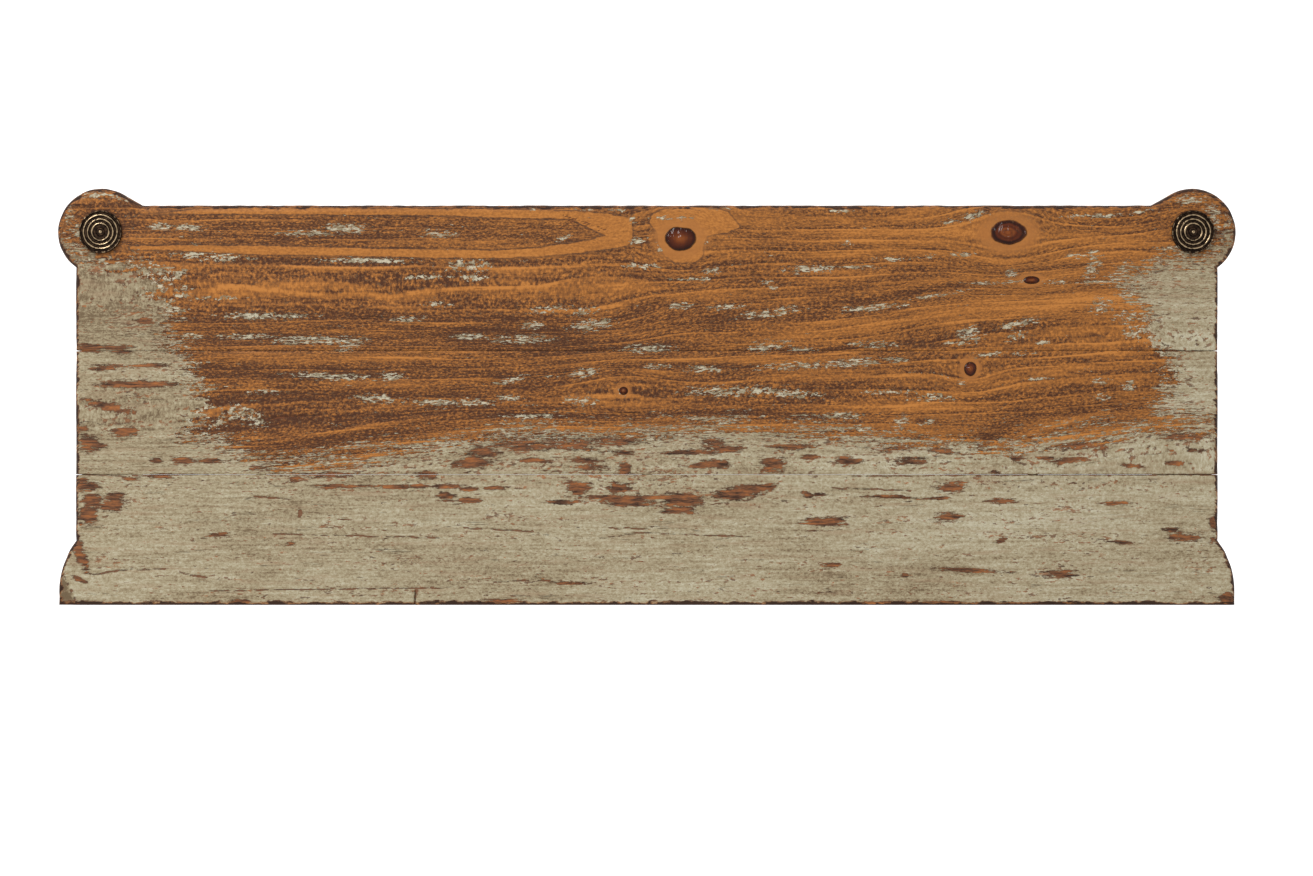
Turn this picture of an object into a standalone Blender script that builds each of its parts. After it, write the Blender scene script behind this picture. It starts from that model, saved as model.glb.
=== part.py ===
"""Wall shelf: a board of three planks with round front corners, carried by two pegged timber brackets.

Metres, +Z up. The wall is the plane Y = 0 and the shelf's front faces -Y. The origin is the middle of the
back rail's wall face.
"""

import math

import bmesh
import bpy
from mathutils import Matrix, Vector

# Board
WIDTH = 0.914  # over the two round corners
DEPTH = 0.310  # from the wall to the straight front edge
THICKNESS = 0.022
REAR_PLANK = 0.101  # widths of the two planks behind the front one, which takes what is left
MIDDLE_PLANK = 0.096
TOP_ARRIS = 0.005  # rounding of the outer top edge
BOTTOM_ARRIS = 0.002

# Round corners, and the flared ends at the wall
EAR_RADIUS = 0.034
EAR_SIDE_OVERHANG = 0.014
EAR_FRONT_OVERHANG = 0.013
EAR_SHOULDER = 0.0316  # from the ear's middle, inwards, to where its shoulder meets the front edge
FLARE_LENGTH = 0.050
FLARE_RISE = 0.013
FLARE_RUN = 0.039  # length of its curved part

# Medallions that cover the corner bolts
MEDALLION_RADIUS = 0.0167
RING_PITCH = 0.0032
RING_COUNT = 3
RING_HEIGHT = 0.0012
RING_HALF_WIDTH = 0.0011
CREST_HALF_WIDTH = 0.0004
SHEET = 0.0014
DOME_RADIUS = 0.0042
DOME_HEIGHT = 0.0018
SKIRT_RADIUS = 0.0125
SKIRT_LENGTH = 0.0038

# Corner bolts and washers
BOLT_RADIUS = 0.004
BOLT_LENGTH = 0.042
BOLT_ACROSS_FLATS = 0.013
BOLT_HEAD = 0.0053
BOLT_POINT = 0.006
WASHER_RADIUS = 0.009
WASHER_THICKNESS = 0.0016

# Brackets
LEG_WIDTH = 0.036  # across the shelf's length, also the arm's width
LEG_DEPTH = 0.032
LEG_LENGTH = 0.270
FOOT_QUIRK = 0.004
FOOT_HEEL = 0.006
ARM_HEIGHT = 0.038
BOSS_RADIUS = 0.028  # round front end of the arm
BRACE_WIDTH = 0.024
BRACE_BAND = 0.026
BRACE_RISE = 0.016  # bow of its curve
BRACE_SETBACK = 0.074  # from the corner bolt to the brace's upper end
BRACE_FOOT_UP = 0.085  # from the leg's lower end to the brace's lower end
TIMBER_ARRIS = 0.0025

# Joints
TENON_THICKNESS = 0.012
TENON_WIDTH = 0.026
TENON_LENGTH = 0.020
TENON_ROOT = 0.005  # how far a tenon is carried back into its own timber
PEG_RADIUS = 0.004
DOWEL_RADIUS = 0.004
SEAM_DOWEL_LENGTH = 0.040
RAIL_DOWEL_LENGTH = 0.024
DOWEL_SPACING = 0.300
DOWEL_COUNT = 3
CHEEK_LEFT = 0.003  # wood left between a rail dowel and a mortise

# Back rail and screws
RAIL_HEIGHT = 0.072
RAIL_THICKNESS = 0.020
STUD_SPACING = 0.4064  # wall screws of the rail
WALL_SCREW_RADIUS = 0.0026
WALL_SCREW_SINK = 0.0055
WALL_SCREW_UP = 0.042  # from the leg's lower end to its wall screw
SCREW_RADIUS = 0.0024
SCREW_HEAD_RADIUS = 0.0045
SCREW_HEAD = 0.003
SCREW_BITE = 0.014  # how far it goes into the plank
SCREW_POCKET = 0.012  # depth of the hole that hides its head

GAP = 0.0003  # between pieces that touch
PASS = 0.002  # how far a cutter runs past the face it opens
CUTTER_STEPS = 16
ROUND_STEPS = 32

# Places worked out from the sizes above
EAR_X = WIDTH / 2 - EAR_RADIUS
EAR_Y = DEPTH + EAR_FRONT_OVERHANG - EAR_RADIUS
SIDE_X = WIDTH / 2 - EAR_SIDE_OVERHANG
BRACKET_TOP = RAIL_HEIGHT / 2
BOARD_BOTTOM = BRACKET_TOP + GAP
MID_BOARD = THICKNESS / 2
REAR_SEAM = REAR_PLANK
FRONT_SEAM = REAR_PLANK + MIDDLE_PLANK
COUNTERBORE = SKIRT_LENGTH + WASHER_THICKNESS + BOLT_HEAD + 4 * GAP
LEG_INNER_X = EAR_X - LEG_WIDTH / 2
BRACE_REACH = EAR_Y - BRACE_SETBACK
BRACE_DROP = LEG_LENGTH - BRACE_FOOT_UP
SIDES = (("left", -1), ("right", 1))


def material(name, colour, roughness, metallic=0.0):
    finish = bpy.data.materials.new(name)
    finish.use_nodes = True
    shader = finish.node_tree.nodes["Principled BSDF"]
    shader.inputs["Base Color"].default_value = (*colour, 1.0)
    shader.inputs["Roughness"].default_value = roughness
    shader.inputs["Metallic"].default_value = metallic
    finish.diffuse_color = (*colour, 1.0)
    return finish


def group(name, location):
    """An empty that carries the pieces of one sub-assembly."""
    parent = bpy.data.objects.new(name, None)
    parent.location = location
    bpy.context.collection.objects.link(parent)
    return parent


def piece(name, bm, finish=None, parent=None, location=(0, 0, 0), rotation=(0, 0, 0)):
    """Makes a named object of a closed bmesh."""
    bmesh.ops.recalc_face_normals(bm, faces=bm.faces)
    mesh = bpy.data.meshes.new(name)
    bm.to_mesh(mesh)
    bm.free()
    if finish:
        mesh.materials.append(finish)
    item = bpy.data.objects.new(name, mesh)
    item.parent = parent
    item.location = location
    item.rotation_euler = rotation
    bpy.context.collection.objects.link(item)
    return item


def smooth(item, angle=40):
    item.data.shade_smooth()
    item.data.set_sharp_from_angle(angle=math.radians(angle))


def combine(item, tools, operation):
    """Cuts the tools out of an item, or joins them to it, and removes them."""
    for tool in tools:
        step = item.modifiers.new(operation.lower(), "BOOLEAN")
        step.operation = operation
        step.object = tool
    bpy.context.view_layer.update()
    shaped = item.evaluated_get(bpy.context.evaluated_depsgraph_get())
    mesh = bpy.data.meshes.new_from_object(shaped)
    item.modifiers.clear()
    item.data = mesh
    for tool in tools:
        bpy.data.objects.remove(tool)


def arc(centre, radius, start, end, steps):
    """Points from one angle to another, in degrees, both ends included."""
    points = []
    for n in range(steps + 1):
        angle = math.radians(start + (end - start) * n / steps)
        points.append((centre[0] + radius * math.cos(angle), centre[1] + radius * math.sin(angle)))
    return points


def prism(outline, low, high, along="Z"):
    """A closed outline carried from low to high: (x, y) points along Z, or (y, z) points along X."""
    bm = bmesh.new()
    place = (lambda a, b: (a, b, low)) if along == "Z" else (lambda a, b: (low, a, b))
    base = bm.faces.new([bm.verts.new(place(a, b)) for a, b in outline])
    grown = bmesh.ops.extrude_face_region(bm, geom=[base])
    moved = [v for v in grown["geom"] if isinstance(v, bmesh.types.BMVert)]
    shift = (0, 0, high - low) if along == "Z" else (high - low, 0, 0)
    bmesh.ops.translate(bm, verts=moved, vec=shift)
    bmesh.ops.recalc_face_normals(bm, faces=bm.faces)
    return bm


def ease(bm, width, keep, segments=2):
    """Rounds the edges that keep() accepts, given an edge's two ends."""
    edges = [e for e in bm.edges if keep(e.verts[0].co, e.verts[1].co)]
    bmesh.ops.bevel(bm, geom=edges, offset=width, segments=segments, profile=0.5, affect="EDGES")
    return bm


def block(low, high):
    bm = bmesh.new()
    bmesh.ops.create_cube(bm, size=1.0)
    size = [b - a for a, b in zip(low, high)]
    middle = [(a + b) / 2 for a, b in zip(low, high)]
    bmesh.ops.transform(bm, matrix=Matrix.Translation(middle) @ Matrix.Diagonal((*size, 1)), verts=bm.verts)
    return bm


def rod(radius, start, end, tip_radius=None, steps=CUTTER_STEPS):
    """A round bar between two points, tapered if it has a tip radius."""
    start, end = Vector(start), Vector(end)
    turn = (end - start).to_track_quat("Z", "Y").to_matrix().to_4x4()
    bm = bmesh.new()
    bmesh.ops.create_cone(
        bm,
        cap_ends=True,
        segments=steps,
        radius1=radius,
        radius2=radius if tip_radius is None else tip_radius,
        depth=(end - start).length,
        matrix=Matrix.Translation((start + end) / 2) @ turn,
    )
    return bm


def turned(profile, steps):
    """A profile of (radius, height) points turned about Z."""
    bm = bmesh.new()
    points = [bm.verts.new((radius, 0, height)) for radius, height in profile]
    rings = [bm.edges.new(pair) for pair in zip(points, points[1:])]
    if profile[0][0] > 0:
        rings.append(bm.edges.new((points[-1], points[0])))
    bmesh.ops.spin(
        bm, geom=points + rings, axis=(0, 0, 1), cent=(0, 0, 0), angle=math.tau, steps=steps, use_merge=False
    )
    bmesh.ops.remove_doubles(bm, verts=bm.verts, dist=1e-6)
    return bm


def pin(length, radius):
    """A dowel or peg about Z, centred on its middle, with eased ends."""
    half = length / 2
    chamfer = radius / 5
    profile = [(0, half), (radius - chamfer, half), (radius, half - chamfer)]
    return turned(profile + [(r, -h) for r, h in reversed(profile)], CUTTER_STEPS)


def tool(bm, parent=None):
    """A cutter, or a piece to be joined to another."""
    item = piece("tool", bm, parent=parent)
    item.hide_render = True
    item.display_type = "WIRE"
    return item


# Board: outlines of the planks, seen from above, from right to left


def mirrored(half):
    return half + [(-x, y) for x, y in reversed(half)]


def rear_outline():
    radius = (FLARE_RUN**2 + FLARE_RISE**2) / (2 * FLARE_RISE)
    centre = (SIDE_X + FLARE_RISE - radius, FLARE_RUN - FLARE_LENGTH)
    start = -math.degrees(math.asin(FLARE_RUN / radius))
    half = [(SIDE_X, -REAR_SEAM + GAP / 2)]
    half += arc(centre, radius, start, 0, 8)
    return mirrored(half + [(SIDE_X + FLARE_RISE, 0)])


def middle_outline():
    return mirrored([(SIDE_X, -FRONT_SEAM + GAP / 2), (SIDE_X, -REAR_SEAM - GAP / 2)])


def front_outline():
    """Round corners, each with a straight shoulder that leaves the circle and runs to the front edge."""
    side = math.degrees(math.acos((SIDE_X - EAR_X) / EAR_RADIUS))
    drop = DEPTH - EAR_Y
    tangent = math.acos(EAR_RADIUS / math.hypot(EAR_SHOULDER, drop))
    front = math.degrees(math.atan2(drop, -EAR_SHOULDER) - tangent)
    half = [(SIDE_X, -FRONT_SEAM - GAP / 2)]
    half += arc((EAR_X, -EAR_Y), EAR_RADIUS, side, -front, 22)
    half.append((EAR_X - EAR_SHOULDER, -DEPTH))
    return mirrored(half)


def plank(name, outline, seams):
    """A plank whose outer edges are rounded; its seams and its wall edge stay square."""
    square = [0.0, *seams]

    def at(height):
        def keep(a, b):
            on_seam = any(abs(a.y - y) < GAP and abs(b.y - y) < GAP for y in square)
            return abs(a.z - height) < GAP and abs(b.z - height) < GAP and not on_seam

        return keep

    bm = prism(outline, 0, THICKNESS)
    ease(bm, TOP_ARRIS, at(THICKNESS), segments=3)
    ease(bm, BOTTOM_ARRIS, at(0), segments=1)
    item = piece(name, bm, pine, board)
    smooth(item)
    return item


def dowel_places():
    return [DOWEL_SPACING * (n - (DOWEL_COUNT - 1) / 2) for n in range(DOWEL_COUNT)]


def seam_dowels(name, seam, behind, ahead):
    """Dowels across a seam, and their holes in the two planks that it joins."""
    half = SEAM_DOWEL_LENGTH / 2
    for number, x in enumerate(dowel_places(), start=1):
        hole = (x, -seam - half - GAP, MID_BOARD), (x, -seam + half + GAP, MID_BOARD)
        for item in (behind, ahead):
            combine(item, [tool(rod(DOWEL_RADIUS + GAP, *hole), board)], "DIFFERENCE")
        dowel = pin(SEAM_DOWEL_LENGTH, DOWEL_RADIUS)
        quarter = (math.pi / 2, 0, 0)
        smooth(piece(f"{name}_{number}", dowel, beech, board, (x, -seam, MID_BOARD), quarter))


def medallion(name, sign):
    """A pressed cover with raised rings, a domed middle and a skirt that plugs the bolt's hole."""
    face = GAP + SHEET
    rise = [math.radians(angle) for angle in (0, 30, 60, 90)]
    profile = [(DOME_RADIUS * math.sin(t), face + DOME_HEIGHT * math.cos(t)) for t in rise]
    first = MEDALLION_RADIUS - CREST_HALF_WIDTH - RING_COUNT * RING_PITCH
    for n in range(RING_COUNT):
        crest = first + n * RING_PITCH
        profile.append((crest - RING_HALF_WIDTH, face))
        profile.append((crest - CREST_HALF_WIDTH, face + RING_HEIGHT))
        profile.append((crest + CREST_HALF_WIDTH, face + RING_HEIGHT))
        profile.append((crest + RING_HALF_WIDTH, face))
    profile.append((MEDALLION_RADIUS - 3 * CREST_HALF_WIDTH, face))
    profile.append((MEDALLION_RADIUS - CREST_HALF_WIDTH, face + RING_HEIGHT / 2))
    profile.append((MEDALLION_RADIUS, GAP))
    profile.append((SKIRT_RADIUS, GAP))
    profile.append((SKIRT_RADIUS, GAP - SKIRT_LENGTH))
    profile.append((SKIRT_RADIUS - SHEET, GAP - SKIRT_LENGTH))
    profile.append((SKIRT_RADIUS - SHEET, 0))
    profile.append((0, 0))
    place = (sign * EAR_X, -EAR_Y, THICKNESS)
    smooth(piece(name, turned(profile, ROUND_STEPS), bronze, board, place), 25)


def corner_bolt(side, sign):
    """The lag bolt that ties a round corner to its arm, with its washer, in a counterbored hole."""
    x, y = sign * EAR_X, -EAR_Y
    floor = THICKNESS - COUNTERBORE
    washer_low = floor + GAP
    head_low = washer_low + WASHER_THICKNESS + GAP
    tip = head_low - BOLT_LENGTH
    washer = [
        (BOLT_RADIUS + GAP, 0),
        (WASHER_RADIUS, 0),
        (WASHER_RADIUS, WASHER_THICKNESS),
        (BOLT_RADIUS + GAP, WASHER_THICKNESS),
    ]
    smooth(piece(f"corner_washer_{side}", turned(washer, ROUND_STEPS), steel, board, (x, y, washer_low)))
    into_head = head_low + PASS
    shank = [(0, tip), (BOLT_RADIUS / 4, tip), (BOLT_RADIUS, tip + BOLT_POINT), (BOLT_RADIUS, into_head)]
    shaft = turned([*shank, (0, into_head)], CUTTER_STEPS)
    bolt = piece(f"corner_bolt_{side}", shaft, steel, board, (x, y, 0))
    corner = BOLT_ACROSS_FLATS / math.sqrt(3)
    head = tool(rod(corner, (x, y, head_low), (x, y, head_low + BOLT_HEAD), steps=6), board)
    combine(bolt, [head], "UNION")
    smooth(bolt, 30)
    cutters = [
        tool(rod(SKIRT_RADIUS + GAP, (x, y, floor), (x, y, THICKNESS + PASS), steps=ROUND_STEPS), board),
        tool(rod(BOLT_RADIUS + GAP, (x, y, -PASS), (x, y, floor + PASS)), board),
    ]
    combine(plank_front, cutters, "DIFFERENCE")
    return tip


# Brackets: each in its own group, whose origin is at the wall, level with the top of the arm


def bracket_leg(side, bracket):
    front = -LEG_DEPTH
    foot_radius = LEG_DEPTH - FOOT_QUIRK - FOOT_HEEL
    outline = [(0, 0), (0, -LEG_LENGTH)]
    outline += arc((-FOOT_HEEL, foot_radius - LEG_LENGTH), foot_radius, -90, -180, 6)
    outline += [(front, foot_radius - LEG_LENGTH), (front, 0)]

    def along_front(a, b):
        return abs(a.y - front) < GAP and abs(b.y - front) < GAP and abs(a.x - b.x) < GAP

    bm = ease(prism(outline, -LEG_WIDTH / 2, LEG_WIDTH / 2, "X"), TIMBER_ARRIS, along_front)
    leg = piece(f"bracket_leg_{side}", bm, pine, bracket)
    smooth(leg)
    return leg


def bracket_arm(side, bracket):
    half = LEG_WIDTH / 2
    start = math.degrees(math.acos(half / BOSS_RADIUS))
    outline = [(half, -LEG_DEPTH - GAP)]
    outline += arc((0, -EAR_Y), BOSS_RADIUS, start, -180 - start, 20)
    outline += [(-half, -LEG_DEPTH - GAP)]

    def along_bottom(a, b):
        low = abs(a.z + ARM_HEIGHT) < GAP and abs(b.z + ARM_HEIGHT) < GAP
        return low and min(a.y, b.y) < -LEG_DEPTH - 2 * GAP

    bm = ease(prism(outline, -ARM_HEIGHT, 0), TIMBER_ARRIS, along_bottom)
    arm = piece(f"bracket_arm_{side}", bm, pine, bracket)
    smooth(arm)
    return arm


def bracket_brace(side, bracket):
    """A bowed brace, and where its upper side meets the arm.

    Its band lies between two arcs about one centre, cut off at the leg and the arm.
    """
    foot = Vector((-LEG_DEPTH - GAP, -BRACE_DROP))
    head = Vector((-BRACE_REACH, -ARM_HEIGHT - GAP))
    chord = head - foot
    radius = (chord.length_squared / 4 + BRACE_RISE**2) / (2 * BRACE_RISE)
    outward = Vector((-chord.y, chord.x)).normalized()
    if outward.y > 0:
        outward.negate()
    centre = (foot + head) / 2 + outward * (radius - BRACE_RISE)

    def edge(r):
        at_leg = Vector((foot.x, centre.y + math.sqrt(r**2 - (foot.x - centre.x) ** 2))) - centre
        at_arm = Vector((centre.x + math.sqrt(r**2 - (head.y - centre.y) ** 2), head.y)) - centre
        ends = [math.degrees(math.atan2(p.y, p.x)) for p in (at_leg, at_arm)]
        return arc(centre, r, *ends, 12)

    upper, lower = edge(radius + BRACE_BAND / 2), edge(radius - BRACE_BAND / 2)

    def along_band(a, b):
        on_cut = all(p.y > foot.x - GAP for p in (a, b)) or all(p.z > head.y - GAP for p in (a, b))
        return abs(a.x - b.x) < GAP and not on_cut

    bm = prism(upper + lower[::-1], -BRACE_WIDTH / 2, BRACE_WIDTH / 2, "X")
    brace = piece(f"bracket_brace_{side}", ease(bm, TIMBER_ARRIS, along_band, segments=1), pine, bracket)
    smooth(brace, 30)
    return brace, upper[-1][0]


def joint(tenoned, mortised, axis, face, middle, bracket, peg_name):
    """A pegged mortise and tenon. The tenon stands out of the face along +Y or +Z, about its middle."""

    def box(grow):
        half_width = TENON_WIDTH / 2 + grow
        half_thickness = TENON_THICKNESS / 2 + grow
        across = (middle - half_width, middle + half_width)
        along = (face - TENON_ROOT, face + TENON_LENGTH + grow)
        y, z = (along, across) if axis == "Y" else (across, along)
        return block((-half_thickness, y[0], z[0]), (half_thickness, y[1], z[1]))

    peg_along = face + TENON_LENGTH / 2
    y, z = (peg_along, middle) if axis == "Y" else (middle, peg_along)
    ends = (-LEG_WIDTH, y, z), (LEG_WIDTH, y, z)
    combine(tenoned, [tool(box(0), bracket)], "UNION")
    combine(tenoned, [tool(rod(PEG_RADIUS + GAP, *ends), bracket)], "DIFFERENCE")
    cutters = [tool(box(GAP), bracket), tool(rod(PEG_RADIUS + GAP, *ends), bracket)]
    combine(mortised, cutters, "DIFFERENCE")
    peg = pin(LEG_WIDTH, PEG_RADIUS)
    smooth(piece(peg_name, peg, beech, bracket, (0, y, z), (0, math.pi / 2, 0)))


def arm_screw(name, y, plank_item, arm, bracket):
    """A screw from below, through the arm into one plank."""
    seat = SCREW_POCKET - ARM_HEIGHT
    head_top = seat - GAP
    tip = SCREW_BITE + GAP
    profile = [
        (0, tip),
        (SCREW_RADIUS, tip - 2 * SCREW_RADIUS),
        (SCREW_RADIUS, head_top),
        (SCREW_HEAD_RADIUS, head_top),
        (SCREW_HEAD_RADIUS, head_top - SCREW_HEAD / 2),
        (SCREW_HEAD_RADIUS / 2, head_top - SCREW_HEAD),
        (0, head_top - SCREW_HEAD),
    ]
    smooth(piece(name, turned(profile, CUTTER_STEPS), steel, bracket, (0, y, 0)))
    pocket = rod(SCREW_HEAD_RADIUS + 2 * GAP, (0, y, -ARM_HEIGHT - PASS), (0, y, seat))
    shank = (0, y, seat - PASS), (0, y, tip + GAP)
    combine(arm, [tool(pocket, bracket), tool(rod(SCREW_RADIUS + GAP, *shank), bracket)], "DIFFERENCE")
    combine(plank_item, [tool(rod(SCREW_RADIUS + GAP, *shank), bracket)], "DIFFERENCE")


def wall_screw_hole(item, x, depth, z, parent=None):
    """A clearance hole to the wall, countersunk at the front."""
    outside = (x, -depth - PASS, z)
    sink_floor = (x, WALL_SCREW_SINK - WALL_SCREW_RADIUS - depth, z)
    bore = rod(WALL_SCREW_RADIUS, (x, PASS, z), outside)
    sink = rod(WALL_SCREW_SINK + PASS, outside, sink_floor, tip_radius=WALL_SCREW_RADIUS)
    combine(item, [tool(bore, parent), tool(sink, parent)], "DIFFERENCE")


def back_rail():
    """The rail against the wall, dowelled to the legs at its ends and to the rear plank above."""
    half = LEG_INNER_X - GAP
    top, middle_y = BRACKET_TOP, -RAIL_THICKNESS / 2

    def along_bottom(a, b):
        edge = (-RAIL_THICKNESS, -RAIL_HEIGHT / 2)
        return all(abs(p.y - edge[0]) < GAP and abs(p.z - edge[1]) < GAP for p in (a, b))

    bm = ease(block((-half, -RAIL_THICKNESS, -RAIL_HEIGHT / 2), (half, 0, top)), TIMBER_ARRIS, along_bottom)
    rail = piece("back_rail", bm, pine)
    smooth(rail)
    for x in (-STUD_SPACING / 2, STUD_SPACING / 2):
        wall_screw_hole(rail, x, RAIL_THICKNESS, 0)
    for number, x in enumerate(dowel_places(), start=1):
        reach = RAIL_DOWEL_LENGTH / 2 + GAP
        ends = (x, middle_y, top - reach), (x, middle_y, top + reach)
        for item in (rail, plank_rear):
            combine(item, [tool(rod(DOWEL_RADIUS + GAP, *ends))], "DIFFERENCE")
        dowel = pin(RAIL_DOWEL_LENGTH, DOWEL_RADIUS)
        smooth(piece(f"board_dowel_{number}", dowel, beech, location=(x, middle_y, top)))
    into_leg = (LEG_WIDTH - TENON_THICKNESS) / 2 - CHEEK_LEFT
    for side, sign in SIDES:
        for number, z in ((1, RAIL_HEIGHT / 4), (2, -RAIL_HEIGHT / 4)):
            outer = LEG_INNER_X + into_leg
            inner = outer - RAIL_DOWEL_LENGTH
            ends = (sign * (inner - GAP), middle_y, z), (sign * (outer + GAP), middle_y, z)
            for item in (rail, legs[side]):
                combine(item, [tool(rod(DOWEL_RADIUS + GAP, *ends))], "DIFFERENCE")
            place = (sign * (inner + outer) / 2, middle_y, z)
            dowel = pin(RAIL_DOWEL_LENGTH, DOWEL_RADIUS)
            smooth(piece(f"rail_dowel_{side}_{number}", dowel, beech, None, place, (0, math.pi / 2, 0)))


for old in list(bpy.data.objects):
    bpy.data.objects.remove(old)

pine = material("aged_pine", (0.36, 0.27, 0.16), 0.6)
beech = material("beech_pin", (0.47, 0.31, 0.17), 0.6)
bronze = material("dark_bronze", (0.13, 0.09, 0.055), 0.35, 1.0)
steel = material("zinc_steel", (0.55, 0.55, 0.54), 0.4, 1.0)

board = group("board", (0, 0, BOARD_BOTTOM))
plank_rear = plank("plank_rear", rear_outline(), [-REAR_SEAM])
plank_middle = plank("plank_middle", middle_outline(), [-REAR_SEAM, -FRONT_SEAM])
plank_front = plank("plank_front", front_outline(), [-FRONT_SEAM])
seam_dowels("rear_seam_dowel", REAR_SEAM, plank_rear, plank_middle)
seam_dowels("front_seam_dowel", FRONT_SEAM, plank_middle, plank_front)

legs = {}
for side, sign in SIDES:
    medallion(f"medallion_{side}", sign)
    bolt_tip = corner_bolt(side, sign)
    bracket = group(f"bracket_{side}", (sign * EAR_X, 0, BRACKET_TOP))
    leg = bracket_leg(side, bracket)
    arm = bracket_arm(side, bracket)
    brace, brace_top = bracket_brace(side, bracket)
    joint(arm, leg, "Y", -LEG_DEPTH - GAP, -ARM_HEIGHT / 2, bracket, f"arm_peg_{side}")
    joint(brace, leg, "Y", -LEG_DEPTH - GAP, -BRACE_DROP, bracket, f"foot_peg_{side}")
    joint(brace, arm, "Z", -ARM_HEIGHT - GAP, -BRACE_REACH, bracket, f"head_peg_{side}")
    pilot = rod(BOLT_RADIUS + GAP, (0, -EAR_Y, PASS), (0, -EAR_Y, bolt_tip))
    combine(arm, [tool(pilot, bracket)], "DIFFERENCE")
    screw_places = (-(LEG_DEPTH + REAR_SEAM) / 2, plank_rear), ((brace_top - REAR_SEAM) / 2, plank_middle)
    for number, (y, plank_item) in enumerate(screw_places, start=1):
        arm_screw(f"arm_screw_{side}_{number}", y, plank_item, arm, bracket)
    wall_screw_hole(leg, 0, LEG_DEPTH, WALL_SCREW_UP - LEG_LENGTH, bracket)
    legs[side] = leg

back_rail()
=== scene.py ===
import math

import bmesh
import bpy
import numpy as np
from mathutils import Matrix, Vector


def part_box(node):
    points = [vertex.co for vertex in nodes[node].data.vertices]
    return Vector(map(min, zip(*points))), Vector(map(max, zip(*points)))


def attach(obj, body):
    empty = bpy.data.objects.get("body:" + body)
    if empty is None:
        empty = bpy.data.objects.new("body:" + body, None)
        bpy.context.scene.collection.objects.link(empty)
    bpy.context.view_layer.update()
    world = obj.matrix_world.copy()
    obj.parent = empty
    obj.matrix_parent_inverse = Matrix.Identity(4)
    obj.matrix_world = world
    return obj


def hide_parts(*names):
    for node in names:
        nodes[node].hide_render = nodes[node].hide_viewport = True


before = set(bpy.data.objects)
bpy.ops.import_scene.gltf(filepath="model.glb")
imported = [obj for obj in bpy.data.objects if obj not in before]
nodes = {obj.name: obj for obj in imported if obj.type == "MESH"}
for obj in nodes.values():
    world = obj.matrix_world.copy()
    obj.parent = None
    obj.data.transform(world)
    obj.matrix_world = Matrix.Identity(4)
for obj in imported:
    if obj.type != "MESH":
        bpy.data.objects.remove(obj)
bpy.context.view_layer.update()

mm = 0.001
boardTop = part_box("plank_middle")[1][2]
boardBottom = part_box("plank_middle")[0][2]
scene = bpy.context.scene


# ---- small helpers for meshes and node trees

def paintColour(red, green, blue):
    # screen colour, 0 to 255, as the linear colour that a shader takes
    values = []
    for value in (red, green, blue):
        share = value / 255
        values.append(share / 12.92 if share <= 0.04045 else ((share + 0.055) / 1.055) ** 2.4)
    return (*values, 1.0)


def grey(value):
    return (value, value, value, 1.0)


def setInput(tree, socket, value):
    if isinstance(value, bpy.types.NodeSocket):
        tree.links.new(value, socket)
    elif value is not None:
        socket.default_value = value


def maths(tree, operation, a, b=None, c=None, clamp=False):
    node = tree.nodes.new("ShaderNodeMath")
    node.operation = operation
    node.use_clamp = clamp
    for socket, value in zip(node.inputs, (a, b, c)):
        setInput(tree, socket, value)
    return node.outputs[0]


def plus(tree, a, b):
    return maths(tree, "ADD", a, b)


def less(tree, a, b):
    return maths(tree, "SUBTRACT", a, b)


def times(tree, a, b):
    return maths(tree, "MULTIPLY", a, b)


def timesPlus(tree, a, b, c):
    return maths(tree, "MULTIPLY_ADD", a, b, c)


def most(tree, a, b):
    return maths(tree, "MAXIMUM", a, b)


def sway(tree, value, amount, base):
    # base, moved up and down by a noise that lies round 0.5
    return timesPlus(tree, less(tree, value, 0.5), amount, base)


def span(tree, value, low, high, toLow=0.0, toHigh=1.0):
    # smooth step from low to high
    node = tree.nodes.new("ShaderNodeMapRange")
    node.interpolation_type = "SMOOTHSTEP"
    given = {"Value": value, "From Min": low, "From Max": high, "To Min": toLow, "To Max": toHigh}
    for name, number in given.items():
        setInput(tree, node.inputs[name], number)
    return node.outputs["Result"]


def noise(tree, vector, stretch, detail=2.0, roughness=0.5, shift=0.0):
    # noise whose patches measure stretch, in the vector's own units
    place = tree.nodes.new("ShaderNodeVectorMath")
    place.operation = "MULTIPLY_ADD"
    setInput(tree, place.inputs[0], vector)
    place.inputs[1].default_value = [1 / size for size in stretch]
    place.inputs[2].default_value = (shift, shift * 1.7, shift * 0.6)
    node = tree.nodes.new("ShaderNodeTexNoise")
    node.inputs["Scale"].default_value = 1.0
    node.inputs["Detail"].default_value = detail
    node.inputs["Roughness"].default_value = roughness
    tree.links.new(place.outputs[0], node.inputs["Vector"])
    return node.outputs["Fac"]


def ramp(tree, value, stops):
    node = tree.nodes.new("ShaderNodeValToRGB")
    marks = node.color_ramp.elements
    while len(marks) < len(stops):
        marks.new(0.5)
    for mark, (position, colour) in zip(marks, stops):
        mark.position = position
        mark.color = colour
    setInput(tree, node.inputs[0], value)
    return node.outputs[0]


def blend(tree, share, below, above):
    # colour below where share is 0, and above where it is 1
    node = tree.nodes.new("ShaderNodeMix")
    node.data_type = "RGBA"
    setInput(tree, node.inputs["Factor"], share)
    setInput(tree, node.inputs[6], below)
    setInput(tree, node.inputs[7], above)
    return node.outputs[2]


def split(tree, vector):
    node = tree.nodes.new("ShaderNodeSeparateXYZ")
    setInput(tree, node.inputs[0], vector)
    return node.outputs[0], node.outputs[1], node.outputs[2]


def join(tree, x, y, z):
    node = tree.nodes.new("ShaderNodeCombineXYZ")
    for socket, value in zip(node.inputs, (x, y, z)):
        setInput(tree, socket, value)
    return node.outputs[0]


def attribute(tree, name, output="Vector"):
    node = tree.nodes.new("ShaderNodeAttribute")
    node.attribute_name = name
    return node.outputs[output]


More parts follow.
